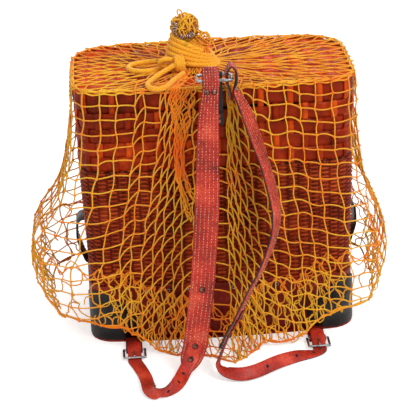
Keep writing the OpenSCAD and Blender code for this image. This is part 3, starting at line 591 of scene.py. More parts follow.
# ---- Splint bands, hoop and lid band ----
# Wide smooth splints run round the upper wall, the rim and the lid. Bright narrow uprights
# pass over them by turns, one stake apart from band to band. The lid's band is cut away a
# little along its lower edge on the strap side.
stake_count = 54
stake_pitch = 2 * half_round / stake_count
bands = [("wall_bands", "creel", "wall_splints", 0, [(246.3, 265), (265.4, 284.3), (284.7, 303.6)]),
         ("hoop_band", "creel", "rim_hoop", 1.2, [(304.3, 324.8)]),
         ("lid_skirt_band", "lid", "lid_band", 1.2, [(325.9, 353.6)])]
slot_middle, slot_width, slot_rise = 40, 62, 3.6
parity = 0
for name, body, node, proud, heights in bands:
    bm = bmesh.new()
    outline, tones, first = [], [], parity
    for low, high in heights:
        def section(s, low=low, high=high, turn=parity):
            dip = -0.9 * math.cos(math.pi * (s + half_round) / stake_pitch + math.pi * turn)
            lift = 0
            if body == "lid" and abs(wrapped(s)) < at_bend:
                lift = slot_rise * math.exp(-((s - slot_middle) / slot_width) ** 2)
            foot, shoulder = low + lift, (high - low - lift) * 0.2
            return [(proud - 2.1 + dip + g, z) for g, z in (
                (-0.8, foot), (0.6, foot), (1.2, foot + shoulder), (1.6, (foot + high) / 2),
                (1.2, high - shoulder), (0.6, high), (-0.8, high))]
        outline.append(section)
        tones.append(0.36 + 0.2 * pick.random())
        parity += 1
    round_plan(bm, outline, tones=tones)
    fit(name, closed(name, bm), [splint], body, [node])

    bm = bmesh.new()
    low, high = heights[0][0] - 1.5, heights[-1][1] + (0.4 if body == "lid" else 1)
    steps = 10 * len(heights)
    stages = []
    for k in range(steps + 1):
        z = low + (high - low) * k / steps
        row = sum(z > top for _, top in heights[:-1])
        foot, top = heights[row]
        reach = max(0, math.sin(math.pi * min(max((z - foot) / (top - foot), 0), 1))) ** 0.5
        stage = []
        for i in range(stake_count):
            sign = 1 if (i + first + row) % 2 == 0 else -1
            g = proud - 1.6 + sign * (1.9 * reach)
            stage.append([(*on_plan(part_round(i, stake_count) + d, g + h), z) for d, h in
                          ((-4, -0.5), (4, -0.5), (4, 0.4), (0, 1.0), (-4, 0.4))])
        stages.append(stage)
    sweep(bm, stages, tones=[0.42 + 0.38 * pick.random() for i in range(stake_count)])
    fit(name + "_uprights", closed(name + "_uprights", bm), [splint], body, [])

# ---- Collar and floor inside ----
# A plain collar of lacquered splint inside the rim locates the lid, and a woven floor
# closes the foot. Both are coloured very dark, as painted shade inside the basket. Both show only
# with the lid open.
inside = lacquer_finish("lacquered_inside_shade", paint(0.1, 0.02, 0.02), paint(0.2, 0.05, 0.03),
                        paint(0.3, 0.09, 0.05), 0.5, 0.1)
clad(inside, "rim_collar", "basket_floor")

# ---- Plaited lid top ----
# The same flat splints cross at right angles in plain weave. A round cane is bound along the
# edge and hides their ends.
top_growth, splint_w, splint_pitch, top_z = -1.2, 17.6, 19.0, 352.0
most_splints, plait_steps, edge_steps = 9, 80, 216
outline = [on_plan(part_round(k, 720), top_growth) for k in range(720)]


def ends(axis, value):
    """Where a line across the lid top meets its outline."""
    found = []
    for a, b in zip(outline, outline[1:] + outline[:1]):
        if (a[axis] - value) * (b[axis] - value) <= 0 and a[axis] != b[axis]:
            t = (value - a[axis]) / (b[axis] - a[axis])
            found.append(a[1 - axis] + t * (b[1 - axis] - a[1 - axis]))
    return (min(found), max(found)) if len(found) > 1 else None


bm = bmesh.new()
for axis, reach in ((1, depth_half), (0, width_half)):
    for i in range(-most_splints, most_splints + 1):
        value = i * splint_pitch
        if abs(value) > reach - 8 or not ends(axis, value):
            continue
        a, b = ends(axis, value)
        stages = []
        for k in range(plait_steps + 1):
            run = a + (b - a) * k / plait_steps
            swing = 0.85 * math.cos(math.pi * run / splint_pitch + math.pi * (i + (axis == 0)))
            section = []
            for d, h in ((-0.5, -0.7), (0.5, -0.7), (0.5, 0.3), (0, 0.8), (-0.5, 0.3)):
                across = value + d * splint_w
                spot = (run, across) if axis == 1 else (across, run)
                section.append((*spot, top_z + swing + h))
            stages.append([section])
        sweep(bm, stages, tones=[0.45 + 0.5 * pick.random()])
fit("lid_plait", closed("lid_plait", bm), [splint], "lid", ["lid_panel"])
edge = [(*on_plan(part_round(k, edge_steps), 0.2), top_z + 0.4) for k in range(edge_steps)]
fit("lid_edge_cane", strands("lid_edge_cane", [edge], 3.4, closed=True, tones=[[0.7] * edge_steps]),
    [splint], "lid", [])

# ---- Leather hinges ----
# Two leather straps across the far side join the rim and the lid, with rivets through each
# end. Each is one piece of leather, bowed out a little over the hinge line.
strap_leather = leather_finish("strap_leather", paint(0.44, 0.08, 0.05), paint(0.74, 0.17, 0.1),
                               paint(0.9, 0.34, 0.23), 360.0, 0.5, -0.0006, Coat_Weight=0.1,
                               Coat_Roughness=0.3)
thread = flecked_finish("stitch_thread", 0.7, 900.0, 2.0, (0.42, paint(0.25, 0.05, 0.04)),
                        (0.58, paint(1, 0.72, 0.6)))
leathers = [strap_leather, black_leather, thread]
strap_steps = 8


def strap(name, stops, thickness, finishes, body, nodes, rows=(), stitch=4.6):
    """A leather strap through stops of (place, cross direction, width), with rows of stitches.
    Its back has the second finish, its stitches the third."""
    run = smooth_run([(*p, *c, w) for p, c, w in stops], strap_steps)
    bm = bmesh.new()
    stages, places = [], []
    for i, r in enumerate(run):
        p, c, w = Vector(r[:3]), Vector(r[3:6]), r[6]
        behind, ahead = run[max(i - 1, 0)], run[min(i + 1, len(run) - 1)]
        d = (Vector(ahead[:3]) - Vector(behind[:3])).normalized()
        outward = d.cross(c).normalized()
        side = outward.cross(d)
        h, t = w / 2, thickness / 2
        places.append((p, d, outward, side, w))
        stages.append([[p + side * x + outward * y for x, y in
                        ((-h + 0.7, -t), (h - 0.7, -t), (h, -t * 0.4), (h, t * 0.4),
                         (h - 0.8, t * 0.9), (h * 0.5, t * 1.12), (0, t * 1.18),
                         (-h * 0.5, t * 1.12), (-h + 0.8, t * 0.9), (-h, t * 0.4),
                         (-h, -t * 0.4))]])
    sweep(bm, stages, lined=(0, 1, 2, 9, 10))
    far = 0.0
    for (a, *_), (b, d, outward, side, w) in zip(places, places[1:]):
        length = (b - a).length
        while rows and far < length:
            for row in rows:
                spot = a + (b - a) * (far / length) + side * (w * row)
                spot += outward * (thickness * 0.56)
                turn = Matrix((d, side, outward)).transposed().to_4x4()
                made = bmesh.ops.create_icosphere(
                    bm, subdivisions=1, radius=0.001, matrix=Matrix.Translation(spot / 1000)
                    @ turn @ Matrix.Diagonal((1.5, 0.6, 0.45, 1)))["verts"]
                for face in {f for v in made for f in v.link_faces}:
                    face.material_index = 2
            far += stitch
        far -= length
    return fit(name, closed(name, bm), finishes, body, nodes), places


hinge_half, hinge_t, hinge_y = 90, 2.2, 99.7
for side, where in ((-1, "left"), (1, "right")):
    x = side * hinge_half
    stops = [((x, y, z), (1, 0, 0), 30) for y, z in
             ((hinge_y, 299.5), (hinge_y, 312), (100.9, 321), (102.2, 325.25), (100.9, 329.5),
              (hinge_y, 338), (hinge_y, 351))]
    hinge, _ = strap("hinge_%s_leather" % where, stops, hinge_t, leathers, "creel",
                     ["hinge_strap_" + where, "hinge_leaf_" + where], rows=(-0.42, 0.42))
    hinge.parent = None  # the leather rides on neither body
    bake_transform(hinge)
clad(steel, "hinge_rivets", "hinge_leaf_rivets")

# ---- Shoulder straps and lower straps ----
# Pebbled red-brown leather lined with black, folded over the ring and riveted. A narrow strap
# with holes is riveted to the foot of each and runs over the ground into its buckle. The ring
# hangs in a black tab, and the buckles in tabs that are sewn to the sole.
bronze = flecked_finish("bronze_rivet", 0.3, 190.0, 4.0, (0.35, paint(0.28, 0.12, 0.1)),
                        (0.62, paint(0.66, 0.45, 0.38)), Metallic=0.85)
clad(bronze, "strap_rivets", "side_loop_rivets", "ring_tab_rivets")
clad(steel, "strap_ring", "buckle_frame_left", "buckle_frame_right", "buckle_prong_left",
     "buckle_prong_right")
clad(black_leather, "ring_tab")
clad(maroon_leather, "buckle_tab_left", "buckle_tab_right")
back_face = -depth_half - back_bow
near_bar, far_bar, ring_z = 7.9, 31.9, 374
fold_x, fold_r = 19, 5.8
strap_t, narrow_t, narrow_w = 3.2, 2.4, 18
across_x, across_y, edge_on, half_turned = (1, 0, 0), (0, 1, 0), (0.4, 0.9, 0), (0.55, 0.84, 0)


def out(x, distance, z):
    """A place at a distance out from the middle of the strap side."""
    return (x, back_face - distance, z)


left_stops = [(out(*place), across_x, width) for *place, width in (
    (-8, far_bar - 1.5, 352, 21), (-8, far_bar - 2.2, 362, 21), (-8, far_bar - 5.2, 374, 21),
    (-8, far_bar - 5.2, 384, 21), (-8, far_bar, 391, 21), (-8, far_bar + 5.2, 384, 21),
    (-8, 41, 374, 21), (-9, 38, 362, 21), (-11, 39, 346, 23), (-14, 41, 312, 27),
    (-19, 49, 222, 31), (-25, 59, 157, 31), (-31, 69, 106, 31), (-40, 79, 54, 31),
    (-44, 85, 34, 31), (-51, 93, 18, 27), (-57, 100, 6, 13))]
mid_bar = (near_bar + far_bar) / 2
right_stops = [(out(fold_x + x, mid_bar, ring_z + z), across_y, 18) for x, z in (
    (-1.9, -28), (-3, -18), (-fold_r, -6), (-fold_r, 8), (0, 15.5), (fold_r, 8), (fold_r, -6))]
right_stops += [(out(*place), cross, width) for *place, cross, width in (
    (fold_x + 4.4, mid_bar, ring_z - 18, (0.25, 0.97, 0), 20),
    (34, 27, 333, half_turned, 23), (42, 28, 309, half_turned, 26), (56, 30, 263, edge_on, 30),
    (67, 35, 216, edge_on, 31), (70, 39, 192, edge_on, 31), (65, 44, 162, edge_on, 31),
    (50, 51, 126, edge_on, 31), (33, 59, 98, edge_on, 31), (14, 69, 66, edge_on, 29),
    (-2, 79, 46, (0.35, 0.9, 0.1), 27), (-12, 89, 31, (0.3, 0.9, 0.2), 13))]
stitch_rows = (-0.41, -0.25, -0.08, 0.08, 0.25, 0.41)
(_, left_run), (_, right_run) = (
    strap("strap_%s_leather" % where, stops, strap_t, leathers, "creel",
          ["shoulder_strap_" + where], rows=stitch_rows, stitch=3.6)
    for where, stops in (("left", left_stops), ("right", right_stops)))


def lapped(stops, i, part=0.0):
    """A place on the narrow strap that is lapped on a shoulder strap's outer face."""
    numbers = [(*p, *c) for p, c, w in stops]
    here, ahead = between(numbers, i, part), between(numbers, i, part + 0.05)
    way = Vector(ahead[:3]) - Vector(here[:3])
    outward = way.cross(Vector(here[3:])).normalized()
    return tuple(Vector(here[:3]) + outward * ((strap_t + narrow_t) / 2 + 1.1))


def through_buckle(x):
    return [((x, y, z), (-1, 0, 0), width) for y, z, width in (
        (-156.5, 1.5, narrow_w), (-149.5, 1.7, narrow_w), (-140.25, 5.94, narrow_w),
        (-130, 10.38, narrow_w), (-121, 10.58, narrow_w), (-112, 9.88, 10))]


left_lower = [(lapped(left_stops, i, part), across_x, width) for i, part, width in (
    (13, 0.72, 7), (13, 0.8, 15), (14, 0, narrow_w), (14, 0.5, narrow_w), (15, 0, narrow_w))]
left_lower += [(out(*place), cross, narrow_w) for *place, cross in (
    (-61, 110, 9, (0.95, -0.1, -0.2)), (-67, 127, 8, (0.8, 0.1, -0.55)),
    (-75, 146, 10, (0.5, 0.3, -0.8)), (-87, 160, 10.5, (0.1, 0.4, -0.9)),
    (-99, 161, 10.5, (-0.4, 0.4, -0.8)), (-106, 146, 8, (-0.8, 0.35, -0.4)),
    (-108, 124, 4.5, (-0.97, 0.1, 0.1)), (-111, 97, 2.1, (-1, 0, 0.06)),
    (-117, 72, 1.5, (-1, 0, 0)))]
right_lower = [(lapped(right_stops, i, part), cross, width) for i, part, cross, width in (
    (15, 0.76, edge_on, 7), (15, 0.84, edge_on, 15), (16, 0, edge_on, narrow_w),
    (16, 0.5, edge_on, narrow_w), (17, 0, (0.35, 0.9, 0.1), narrow_w))]
right_lower += [(out(*place), cross, narrow_w) for *place, cross in (
    (-14, 100, 20, (0.15, 0.85, -0.5)), (-12, 111, 13, (0.45, 0.85, -0.1)),
    (-4, 118, 10, (0.4, 0.8, 0.35)), (12, 123, 9, (0.1, 0.68, 0.72)),
    (32, 117, 9, (-0.3, 0.6, 0.75)), (62, 95, 8.5, (-0.4, 0.6, 0.68)),
    (88, 78, 6, (-0.4, 0.75, 0.5)), (106, 69, 3.2, (-0.5, 0.8, 0.2)),
    (117, 63, 1.9, (-0.84, 0.54, 0)))]
# each punched hole is a dark disc on both faces of the strap: painted shade
hole_shade = flecked_finish("hole_painted_shade", 0.8, 300.0, 2.0, (0.3, paint(0.02, 0.02, 0.02)),
                      (0.7, paint(0.07, 0.05, 0.05)))
buckle_x = 122
for where, stops, punched in (
        ("left", left_lower + through_buckle(-buckle_x), (0.2, 0.27, 0.34, 0.41)),
        ("right", right_lower + through_buckle(buckle_x), (0.5, 0.58, 0.66, 0.74))):
    _, run = strap("lower_strap_%s_leather" % where, stops, narrow_t, leathers, "creel",
                   ["lower_strap_" + where])
    bm = bmesh.new()
    for part in punched:
        p, d, outward, side, _ = run[int(part * (len(run) - 1))]
        for face in (1, -1):
            turn = Matrix((d, side * face, outward * face)).transposed().to_4x4()
            bmesh.ops.create_cone(
                bm, cap_ends=True, segments=16, radius1=0.0024, radius2=0.0022, depth=0.0003,
                matrix=Matrix.Translation((p + outward * face * 1.5) / 1000) @ turn)
    fit("lower_strap_%s_holes" % where, closed("holes", bm), [hole_shade], "creel", [])

# a dark ring round each rivet of the folds and laps is painted shade, where the leather is dented
dent_shades = []
for run, stop, shift in ((left_run, 7, -4.5), (left_run, 7, 4.5), (right_run, 7, 0),
                         (left_run, 12, 0)):
    p, d, outward, side, w = run[stop * strap_steps]
    dent_shades.append((p + Vector((shift, 0, 0)) + outward * 2, outward))
for stops, lap in ((left_stops, 14), (left_stops, 15), (right_stops, 16), (right_stops, 17)):
    on_lap = Vector(lapped(stops, lap))
    outward = (on_lap - Vector(stops[lap][0])).normalized()
    dent_shades.append((on_lap + outward * 1.5, outward))
bm = bmesh.new()
for spot, outward in dent_shades:
    wire_ring(bm, spot, outward, 3.5, 1, around=16, section=6)
fit("rivet_dent_shade", closed("rivet_dent_shade", bm), [hole_shade], "creel", [])

# ---- Side loops ----
# A black leather loop stands out from each side wall, for a carrying strap or a tool. It is
# riveted to the wicker at its top and bottom.
loop_x, loop_w = 174.3, 34
for side, where in ((-1, "left"), (1, "right")):
    stops = [((side * (loop_x + x), -6, z), (0, side, 0), loop_w) for x, z in
             ((1, 88), (6, 91.5), (11, 107), (15, 122), (15, 138), (13, 147), (8, 151),
              (3.2, 151))]
    strap("side_loop_%s_leather" % where, stops, narrow_t, [black_leather, black_leather, thread],
          "creel", ["side_loop_" + where], rows=(-0.43, 0.43))

# ---- Net cover ----
# A knotted net of yellow twine hangs from a gathered ball over the lid, down all sides, and
# turns in at the foot, where its doubled hem is laced to the base. It hangs along three lines
# of (distance out, height): at the middle of the back, of the sides and of the front.
twine_finish = strand_finish("net_twine", paint(0.98, 0.42, 0.0), paint(1, 0.8, 0.16), 0.004,
                             0.0003)
side_line = [(2.1, 356.3), (4.5, 342), (6, 300), (14, 240), (30, 185), (56, 150), (64, 112),
             (60, 76), (42, 40), (10, 12)]
back_line = [(2.1, 356.3), (3.5, 342), (4, 260), (8, 150), (16, 60), (22, 18)]
front_line = [(2.1, 356.3), (7, 346), (8, 300), (18, 220), (30, 150), (34, 90), (20, 12)]
bar, net_drop, row_count, hang_steps = 20.5, 368, 29, 120
side_zone, front_zone = (120, 215), (290, 400)
twine_d, ground, quarters = 2.0, 1.4, (0, 0.25, 0.5, 0.75, 1)


def hang(line, down):
    """Distance out and height on a hanging line, down from 0 at the lid to 1 at the hem."""
    runs = smooth_run(line, 6)
    lengths = [0.0]
    for a, b in zip(runs, runs[1:]):
        lengths.append(lengths[-1] + math.dist(a, b))
    want = down * lengths[-1]
    for (a, la), (b, lb) in zip(zip(runs, lengths), zip(runs[1:], lengths[1:])):
        if want <= lb:
            t = (want - la) / (lb - la) if lb > la else 0
            return a[0] + (b[0] - a[0]) * t, a[1] + (b[1] - a[1]) * t
    return runs[-1]


def ease(value, low, high):
    """Goes smoothly from 0 at low to 1 at high."""
    t = min(max((value - low) / (high - low), 0), 1)
    return t * t * (3 - 2 * t)


tables = [[hang(line, k / hang_steps) for k in range(hang_steps + 1)]
          for line in (back_line, side_line, front_line)]


def on_net(s, down, inward=0.0):
    """A place on the hanging net. Past the hem it lies on the ground."""
    s = wrapped(s)
    side_part, front_part = ease(abs(s), *side_zone), ease(abs(s), *front_zone)
    k = min(max(down, 0), 1) * hang_steps
    i = min(int(k), hang_steps - 1)
    t = k - i
    (g, z), *others = [(a[i][0] + (a[i + 1][0] - a[i][0]) * t,
                        a[i][1] + (a[i + 1][1] - a[i][1]) * t) for a in tables]
    for (next_g, next_z), part in zip(others, (side_part, front_part)):
        g, z = g + (next_g - g) * part, z + (next_z - z) * part
    if down > 0.15:
        g *= 1 + (0.1 if s < 0 else -0.3) * side_part * (1 - front_part)
    if down > 1:
        beyond = (down - 1) * net_drop
        g += 0.9 * beyond
        z = max(z - 0.8 * beyond, 2.4 + 1.2 * math.sin(0.3 * s + 0.25 * beyond))
    return (*on_plan(s, g + 1 - inward), max(z, 2.0))


# each column of meshes has its distance round at the lid and at the hem: they are drawn
# together behind the straps
right_columns = [(14, 8), (15, 16), (17, 24), (20, 32), (25, 42), (34, 53), (48, 71), (65, 90),
                 (87, 107), (106, 124), (126, 141), (148, 160), (170, 182)]
left_columns = [(-14, -22), (-30, -38), (-46, -54), (-52, -66), (-57, -81), (-63, -94),
                (-70, -109), (-91, -123), (-102, -137), (-126, -156), (-147, -173), (-168, -192)]
far_columns = [(190 + 20.0 * i, 190 + 20.0 * i + 12 * (1 - i / 16)) for i in range(17)]
columns = right_columns + far_columns + [(-top, -foot) for top, foot in far_columns[-2::-1]]
columns += left_columns[::-1]


def next_column(i, end):
    """Where the column after column i stands, at the lid (end 0) or at the hem (end 1)."""
    here, following = columns[i][end], columns[(i + 1) % len(columns)][end]
    return following + 2 * half_round if following < here - half_round else following


def hem_part(s):
    """How far down the net reaches: it lies on the ground in the middle and lifts at corners."""
    laid = 58 * math.exp(-((s - 6) / 34) ** 2) + 26 * math.exp(-((s + 62) / 40) ** 2) \
        + 16 * math.exp(-((s - 84) / 30) ** 2)
    s = abs(s)
    return 1.0 + laid / net_drop - 0.09 * ease(s, 95, 185) - 0.03 * ease(s, 200, 240) \
        + 0.1 * ease(s, 330, 420)


# where columns are drawn together, their bars climb steeply towards the straps
climb, most_climb = {}, 130
for side, steep in ((1, 0.75), (-1, 0.9)):
    lift, last = 0.0, None
    for top in sorted((top for top, _ in columns if 0 < top * side < 150), key=lambda c: -abs(c)):
        if last is not None:
            lift += steep * math.sqrt(max(bar ** 2 - (abs(top) - last) ** 2, 0))
        climb[top] = min(lift, most_climb)
        last = abs(top)


def knot_place(column, row):
    top, foot = column
    reach = hem_part(foot) - (0.008 if columns.index(column) % 2 else 0)
    stagger = (row > 0) * 1.5 * math.sin(1.9 * top + row)
    down = min(max((row * bar - climb.get(top, 0) + stagger) / net_drop, 0), reach)
    s = top + (foot - top) * ease(down, 0, 0.85)
    wave = math.sin(1.7 * top + 2.3 * row)
    return on_net(s + 1.6 * wave * (0 < down < reach), down)


def tie_knot(bm, spot, radius):
    bmesh.ops.create_icosphere(bm, subdivisions=1, radius=radius,
                               matrix=Matrix.Translation(Vector(spot) / 1000))


def bowed(a, b, rise, sway=0.0):
    """A bar between two knots, bowed upwards and to one side."""
    run = []
    for t in quarters:
        swell = 4 * t * (1 - t)
        run.append((a[0] + (b[0] - a[0]) * t + sway * swell, a[1] + (b[1] - a[1]) * t,
                    max(a[2] + (b[2] - a[2]) * t + rise * swell, ground)))
    return run


tab_foot = 268
runs, knots = [], bmesh.new()
grid = [[knot_place(column, row) for row in range(row_count)] for column in columns]
for line in grid:
    run = [line[0]]
    for a, b in zip(line, line[1:]):
        if math.dist(a, b) > 2:
            run += bowed(a, b, 0, pick.uniform(-1.3, 1.3))[1:]
    runs.append(run)
for row in range(row_count):
    for line, following in zip(grid, grid[1:] + grid[:1]):
        a, b = line[row], following[row]
        crosses_tab = a[1] < -90 and b[1] < -90 and a[0] * b[0] < 0 and abs(a[0] - b[0]) < 60
        if crosses_tab and max(a[2], b[2]) > tab_foot:
            continue
        if math.dist(a, b) > 2:
            steep = abs(b[2] - a[2]) > 4
            runs.append(bowed(a, b, pick.uniform(1.2, 3.4) if steep else pick.uniform(-2, 1.2)))
for line in grid:
    for row, spot in enumerate(line):
        if not row or math.dist(spot, line[row - 1]) >= 1:
            tie_knot(knots, spot, 0.0021)

# the inner layer goes back up from the hem to the eyelets, loose and curled
inner_rows, inner_count = 6, 2 * len(columns)
inner = []
for k in range(inner_rows):
    level = []
    for i in range(inner_count):
        foot = columns[i // 2][1]
        s = foot + (next_column(i // 2, 1) - foot) * (0.5 * (i % 2) + 0.25 * (k % 2))
        part = hem_part(s) - 0.044 * k
        x, y, z = on_net(s + 3 * math.sin(2.2 * i + 1.4 * k), part, inward=2 + 2 * k)
        level.append((x, y, max(z + 2.5 * math.sin(1.7 * i + 2 * k), 1.6)))
    inner.append(level)


def curl(a, b, sway):
    """A loose bar between two places, bowed to one side."""
    along = Vector(b) - Vector(a)
    bow = Vector((-along.z * 0.3, 0, along.x * 0.3 + along.length * 0.12)) * sway
    run = []
    for t in quarters:
        spot = Vector(a) + along * t + bow * math.sin(math.pi * t)
        run.append((spot.x, spot.y, max(spot.z, ground)))
    return run


inner_runs, longest_bar = [], 60
for k in range(inner_rows - 1):
    for i in range(inner_count):
        for step in (0, 1):
            other = (i + (step if k % 2 else -step)) % inner_count
            a, b = inner[k][i], inner[k + 1][other]
            folded = at_bend + 15 < abs(columns[i // 2][1]) < at_far
            if math.dist(a, b) < longest_bar and not (folded and (i + 2 * k + step) % 3):
                inner_runs.append(curl(a, b, 1 if (i + k + step) % 2 else -1))
for i in range(inner_count):
    a, b = inner[-1][i], inner[-1][(i + 1) % inner_count]
    if math.dist(a, b) < longest_bar:
        for sway in (0.8, 1.6):
            inner_runs.append(curl(a, b, sway * (1 if i % 2 else -1)))

# a bunch of drawn-together columns comes over the near edge, left of the straps
bunch_strands, bunch_steps, bunch_end, bunch_s = 17, 60, 0.54, -46
for i in range(bunch_strands):
    offset, turn, pace = pick.uniform(-16, 16), pick.uniform(0, 6.28), pick.uniform(7, 14)
    end = bunch_end * pick.uniform(0.7, 1)
    run = []
    for k in range(bunch_steps):
        down = end * k / (bunch_steps - 1)
        spread = ease(down, 0.3, bunch_end)
        width = 1 - 0.62 * ease(down, 0.04, 0.26) + 0.3 * spread
        s = bunch_s - 5 * ease(down, 0.05, 0.3) + 14 * spread + offset * width
        sway = 3.4 * math.sin(turn + pace * down * 6.28) + 1.6 * math.sin(2 * turn + 57 * down)
        s += sway * width
        run.append(on_net(s, down, inward=-1.2 - 1.6 * math.sin(turn + 23 * down)))
    runs.append(run)
skirt_nodes = ["net_skirt_left", "net_skirt_right", "net_skirt_front", "net_skirt_back_left",
               "net_skirt_back_right"]
for name, mesh, nodes in (
        ("net_skirt_cover", strands("net_skirt", runs, twine_d, resolution=0), skirt_nodes),
        ("net_skirt_inner", strands("net_inner", inner_runs, 1.9, resolution=0), []),
        ("net_skirt_knots", closed("net_skirt_knots", knots), [])):
    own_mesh(fit(name, mesh, [twine_finish], "lid", nodes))

# ---- Net over the lid ----
# The net runs in from the lid's edge in diamonds that close up towards the gathered neck.
# Three close lines of twine lie round the lid's edge, where the net turns down.
rings, lid_net_z, neck_r, bunch_on_lid, lid_steps = 7, 355.6, 27, 11, 16
runs, knots = [], bmesh.new()


def over_lid(s, part):
    """A place on the net over the lid, from 0 at the edge to 1 at the neck."""
    x, y = on_plan(s, 2.6)
    away = Vector((x - neck_x, y - neck_y))
    spot = away.lerp(away.normalized() * neck_r, part)
    wave = 1.6 * math.sin(0.21 * s + 9 * part) * math.sin(0.13 * s + 21 * part)
    stray = 4 * part * (1 - part) * math.sin(0.37 * s + 31 * part)
    return (neck_x + spot.x + 2.5 * wave + 2.2 * stray, neck_y + spot.y - 1.5 * wave + 3 * stray,
            lid_net_z + abs(wave) + 7 * part ** 7)


levels = []
for k in range(rings + 1):
    level = []
    for i, (top, _) in enumerate(columns):
        s = top + (next_column(i, 0) - top) * (0.5 if k % 2 else 0)
        level.append(over_lid(s, k / rings))
    levels.append(level)
for i in range(len(columns)):
    reach = rings + 1 if i % 2 else 4 + i % 3
    runs.append([levels[k][i] for k in range(reach)])
    runs.append([levels[k][i - 1 if k % 2 else i] for k in range(reach)])
# the bunch that comes over the near edge starts at the neck as wavy strands
for i in range(bunch_on_lid):
    runs.append([over_lid(-76 + 2.6 * i + 3 * math.sin(2.3 * i + 1.1 * k), k / lid_steps)
                 for k in range(lid_steps + 1)])
for level in levels[1:4]:
    for spot in level:
        tie_knot(knots, spot, 0.0019)
edge_lines = [[(*on_plan(part_round(k, edge_steps), g + 0.8 * math.sin(1.9 * k + 2 * g)),
                z + 1.1 * math.sin(1.3 * k + 3 * g)) for k in range(edge_steps)]
              for g, z in ((1.6, 354.6), (0.2, 356.2), (2.4, 352))]
fit("net_top_twine", strands("net_top", runs, twine_d, resolution=0), [twine_finish], "lid",
    ["net_top"])
fit("net_top_edge", strands("net_top_edge", edge_lines, 2.2, closed=True), [twine_finish], "lid",
    [])
fit("net_top_knots", closed("net_top_knots", knots), [twine_finish], "lid", [])

# ---- Gathered neck and ball ----
# The gathered net climbs through the cord in close folds and is bunched into a loose ball,
# with a lump of twine before it. Small dark steel rings fan out at the net's mouth.
neck_line = [(33, 356.6), (26, 361), (21, 367), (20, 384), (15.5, 391), (10, 398)]
neck_folds, core_sides = 52, 24
bm = bmesh.new()
sweep(bm, [[[(neck_x + r * math.cos(a), neck_y + r * math.sin(a), z)
             for a in (math.tau * k / core_sides for k in range(core_sides))]]
           for r, z in ((max(r - 1.6, 1), z) for r, z in neck_line)])
neck_runs = []
for i in range(neck_folds):
    start = math.tau * i / neck_folds
    run = []
    for k, (r, z) in enumerate(smooth_run(neck_line, 4)):
        a = start + 0.02 * k + 0.05 * math.sin(1.3 * k + i)
        r += 0.7 * math.sin(2.1 * i + 0.8 * k)
        run.append((neck_x + r * math.cos(a) - 6 * ease(z, 384, 398), neck_y + r * math.sin(a), z))
    neck_runs.append(run)
shadow_twine = strand_finish("net_twine_shade", paint(0.5, 0.22, 0.03), paint(0.85, 0.5, 0.07),
                             0.004, 0.0003)
fit("net_neck_core", closed("net_neck_core", bm), [shadow_twine], "lid", [])
fit("net_neck_twine", strands("net_neck", neck_runs, 2.2, resolution=0), [twine_finish], "lid",
    ["net_neck"])

ball, ball_strands, ball_steps = Vector((-32, -18, 410.3)), 46, 21
lump_strands, lump_steps, lump_r = 26, 13, 13
bm = bmesh.new()
bmesh.ops.create_uvsphere(bm, u_segments=28, v_segments=16, radius=0.0155,
                          matrix=Matrix.Translation(ball / 1000))
fit("net_ball_core", closed("net_ball_core", bm), [shadow_twine], "lid", [])
ball_runs = []
for i in range(ball_strands):
    axis = Vector((pick.uniform(-1, 1), pick.uniform(-1, 1), pick.uniform(-0.7, 0.7))).normalized()
    side = axis.orthogonal().normalized()
    other = axis.cross(side)
    start, turned, lean = pick.uniform(0, 6.28), pick.uniform(2.2, 4.2), pick.uniform(-0.5, 0.5)
    run = []
    for k in range(ball_steps + 1):
        a = start + turned * k / ball_steps
        r = 16.6 + 2.2 * math.sin(3 * a + i) + 0.9 * math.sin(7 * a + 2 * i)
        p = (side * math.cos(a) + other * math.sin(a) + axis * lean).normalized() * r
        run.append(tuple(ball + p))
    ball_runs.append(run)
for i in range(lump_strands):
    angle, run = math.tau * i / lump_strands, []
    for k in range(lump_steps + 1):
        b = math.pi * k / lump_steps
        swell = 1 + 0.12 * math.sin(3 * angle + 4 * b) + 0.08 * math.sin(7 * angle - 5 * b)
        turn = angle + 0.5 * math.sin(2 * b + 3 * angle)
        run.append((-11 - lump_r * math.cos(b) * 0.9,
                    neck_y + lump_r * swell * math.sin(b) * math.cos(turn),
                    392 + 12 * swell * math.sin(b) * math.sin(turn)))
    ball_runs.append(run)
ball_runs.append([(-38 + 3.2 * math.cos(a), -18, 430 + 4.5 * math.sin(a) - 2 * math.cos(a))
                  for a in (math.pi * (-0.4 + 1.8 * k / 14) for k in range(15))])
fit("net_ball_twine", strands("net_knot", ball_runs, twine_d, resolution=0), [twine_finish],
    "lid", ["net_knot"])

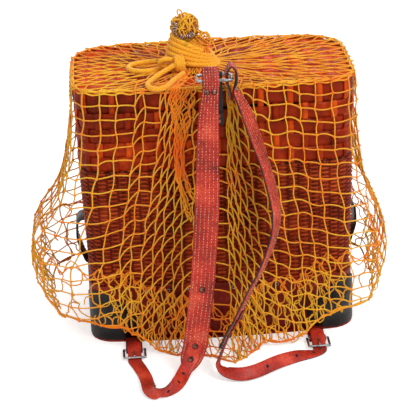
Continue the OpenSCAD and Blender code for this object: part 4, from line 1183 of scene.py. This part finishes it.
dark_steel = flecked_finish("dark_steel", 0.34, 240.0, 3.0, (0.35, paint(0.2, 0.2, 0.21)),
                            (0.6, paint(0.72, 0.72, 0.75)), Metallic=1.0)
mouth_count, mouth_r, mouth_out = 14, 13.2, 9.5
to_viewer, upward, sideways = Vector((0, -0.92, 0.38)), Vector((0, 0.38, 0.92)), Vector((1, 0, 0))
bm = bmesh.new()
for i in range(mouth_count):
    angle = math.radians(160 + 155 * i / (mouth_count - 1))
    spoke = sideways * math.cos(angle) + upward * math.sin(angle)
    tangent = upward * math.cos(angle) - sideways * math.sin(angle)
    wire_ring(bm, ball + spoke * mouth_r + to_viewer * mouth_out,
              tangent + spoke * 0.12 * math.sin(5 * i), 5.2, 1.3, around=18, section=6)
fit("mouth_rings", closed("mouth_rings", bm), [dark_steel], "lid", ["net_rings"])

# ---- Floor and light ----
# The basket stands on a plain white floor under soft light from the right and above. The
# background is full white to the camera and in polished metal, and dimmer as a light.
bm = bmesh.new()
bmesh.ops.create_grid(bm, x_segments=1, y_segments=1, size=6)
mesh = bpy.data.meshes.new("floor")
bm.to_mesh(mesh)
bm.free()
floor = bpy.data.objects.new("floor", mesh)
bpy.context.collection.objects.link(floor)
white = Finish("floor_white", 0.9, Base_Color=(0.9, 0.89, 0.87, 1), Emission_Color=(1, 1, 1, 1))
ray = white.nodes.new("ShaderNodeLightPath")
white.feed(white.surface.inputs["Emission Strength"],
           white.maths("MULTIPLY", ray.outputs["Is Camera Ray"], 0.5))
mesh.materials.append(white.material)

world = bpy.data.worlds.new("studio")
bpy.context.scene.world = world
world.use_nodes = True
air = world.node_tree
sky = air.nodes["Background"]
sky.inputs["Color"].default_value = (1, 1, 1, 1)
ray, seen, lit = (air.nodes.new("ShaderNode" + kind) for kind in ("LightPath", "Math", "MapRange"))
seen.operation = "MAXIMUM"
lit.inputs["To Min"].default_value = 0.55
lit.inputs["To Max"].default_value = 1.0
for source, socket in ((ray.outputs["Is Camera Ray"], seen.inputs[0]),
                       (ray.outputs["Is Glossy Ray"], seen.inputs[1]),
                       (seen.outputs[0], lit.inputs["Value"]),
                       (lit.outputs["Result"], sky.inputs["Strength"])):
    air.links.new(source, socket)
aim = Vector((0, 0, 0.18))
for name, spot, size, watts in (("key", (1.3, -1.5, 2.1), 1.1, 34),
                                ("fill", (-1.6, -1.4, 1.5), 1.6, 9),
                                ("rim", (0.4, 1.6, 1.9), 1.2, 14)):
    lamp = bpy.data.lights.new(name, "AREA")
    lamp.energy, lamp.size = watts, size
    holder = bpy.data.objects.new(name, lamp)
    holder.location = spot
    holder.rotation_euler = (aim - Vector(spot)).to_track_quat("-Z", "Y").to_euler()
    bpy.context.collection.objects.link(holder)
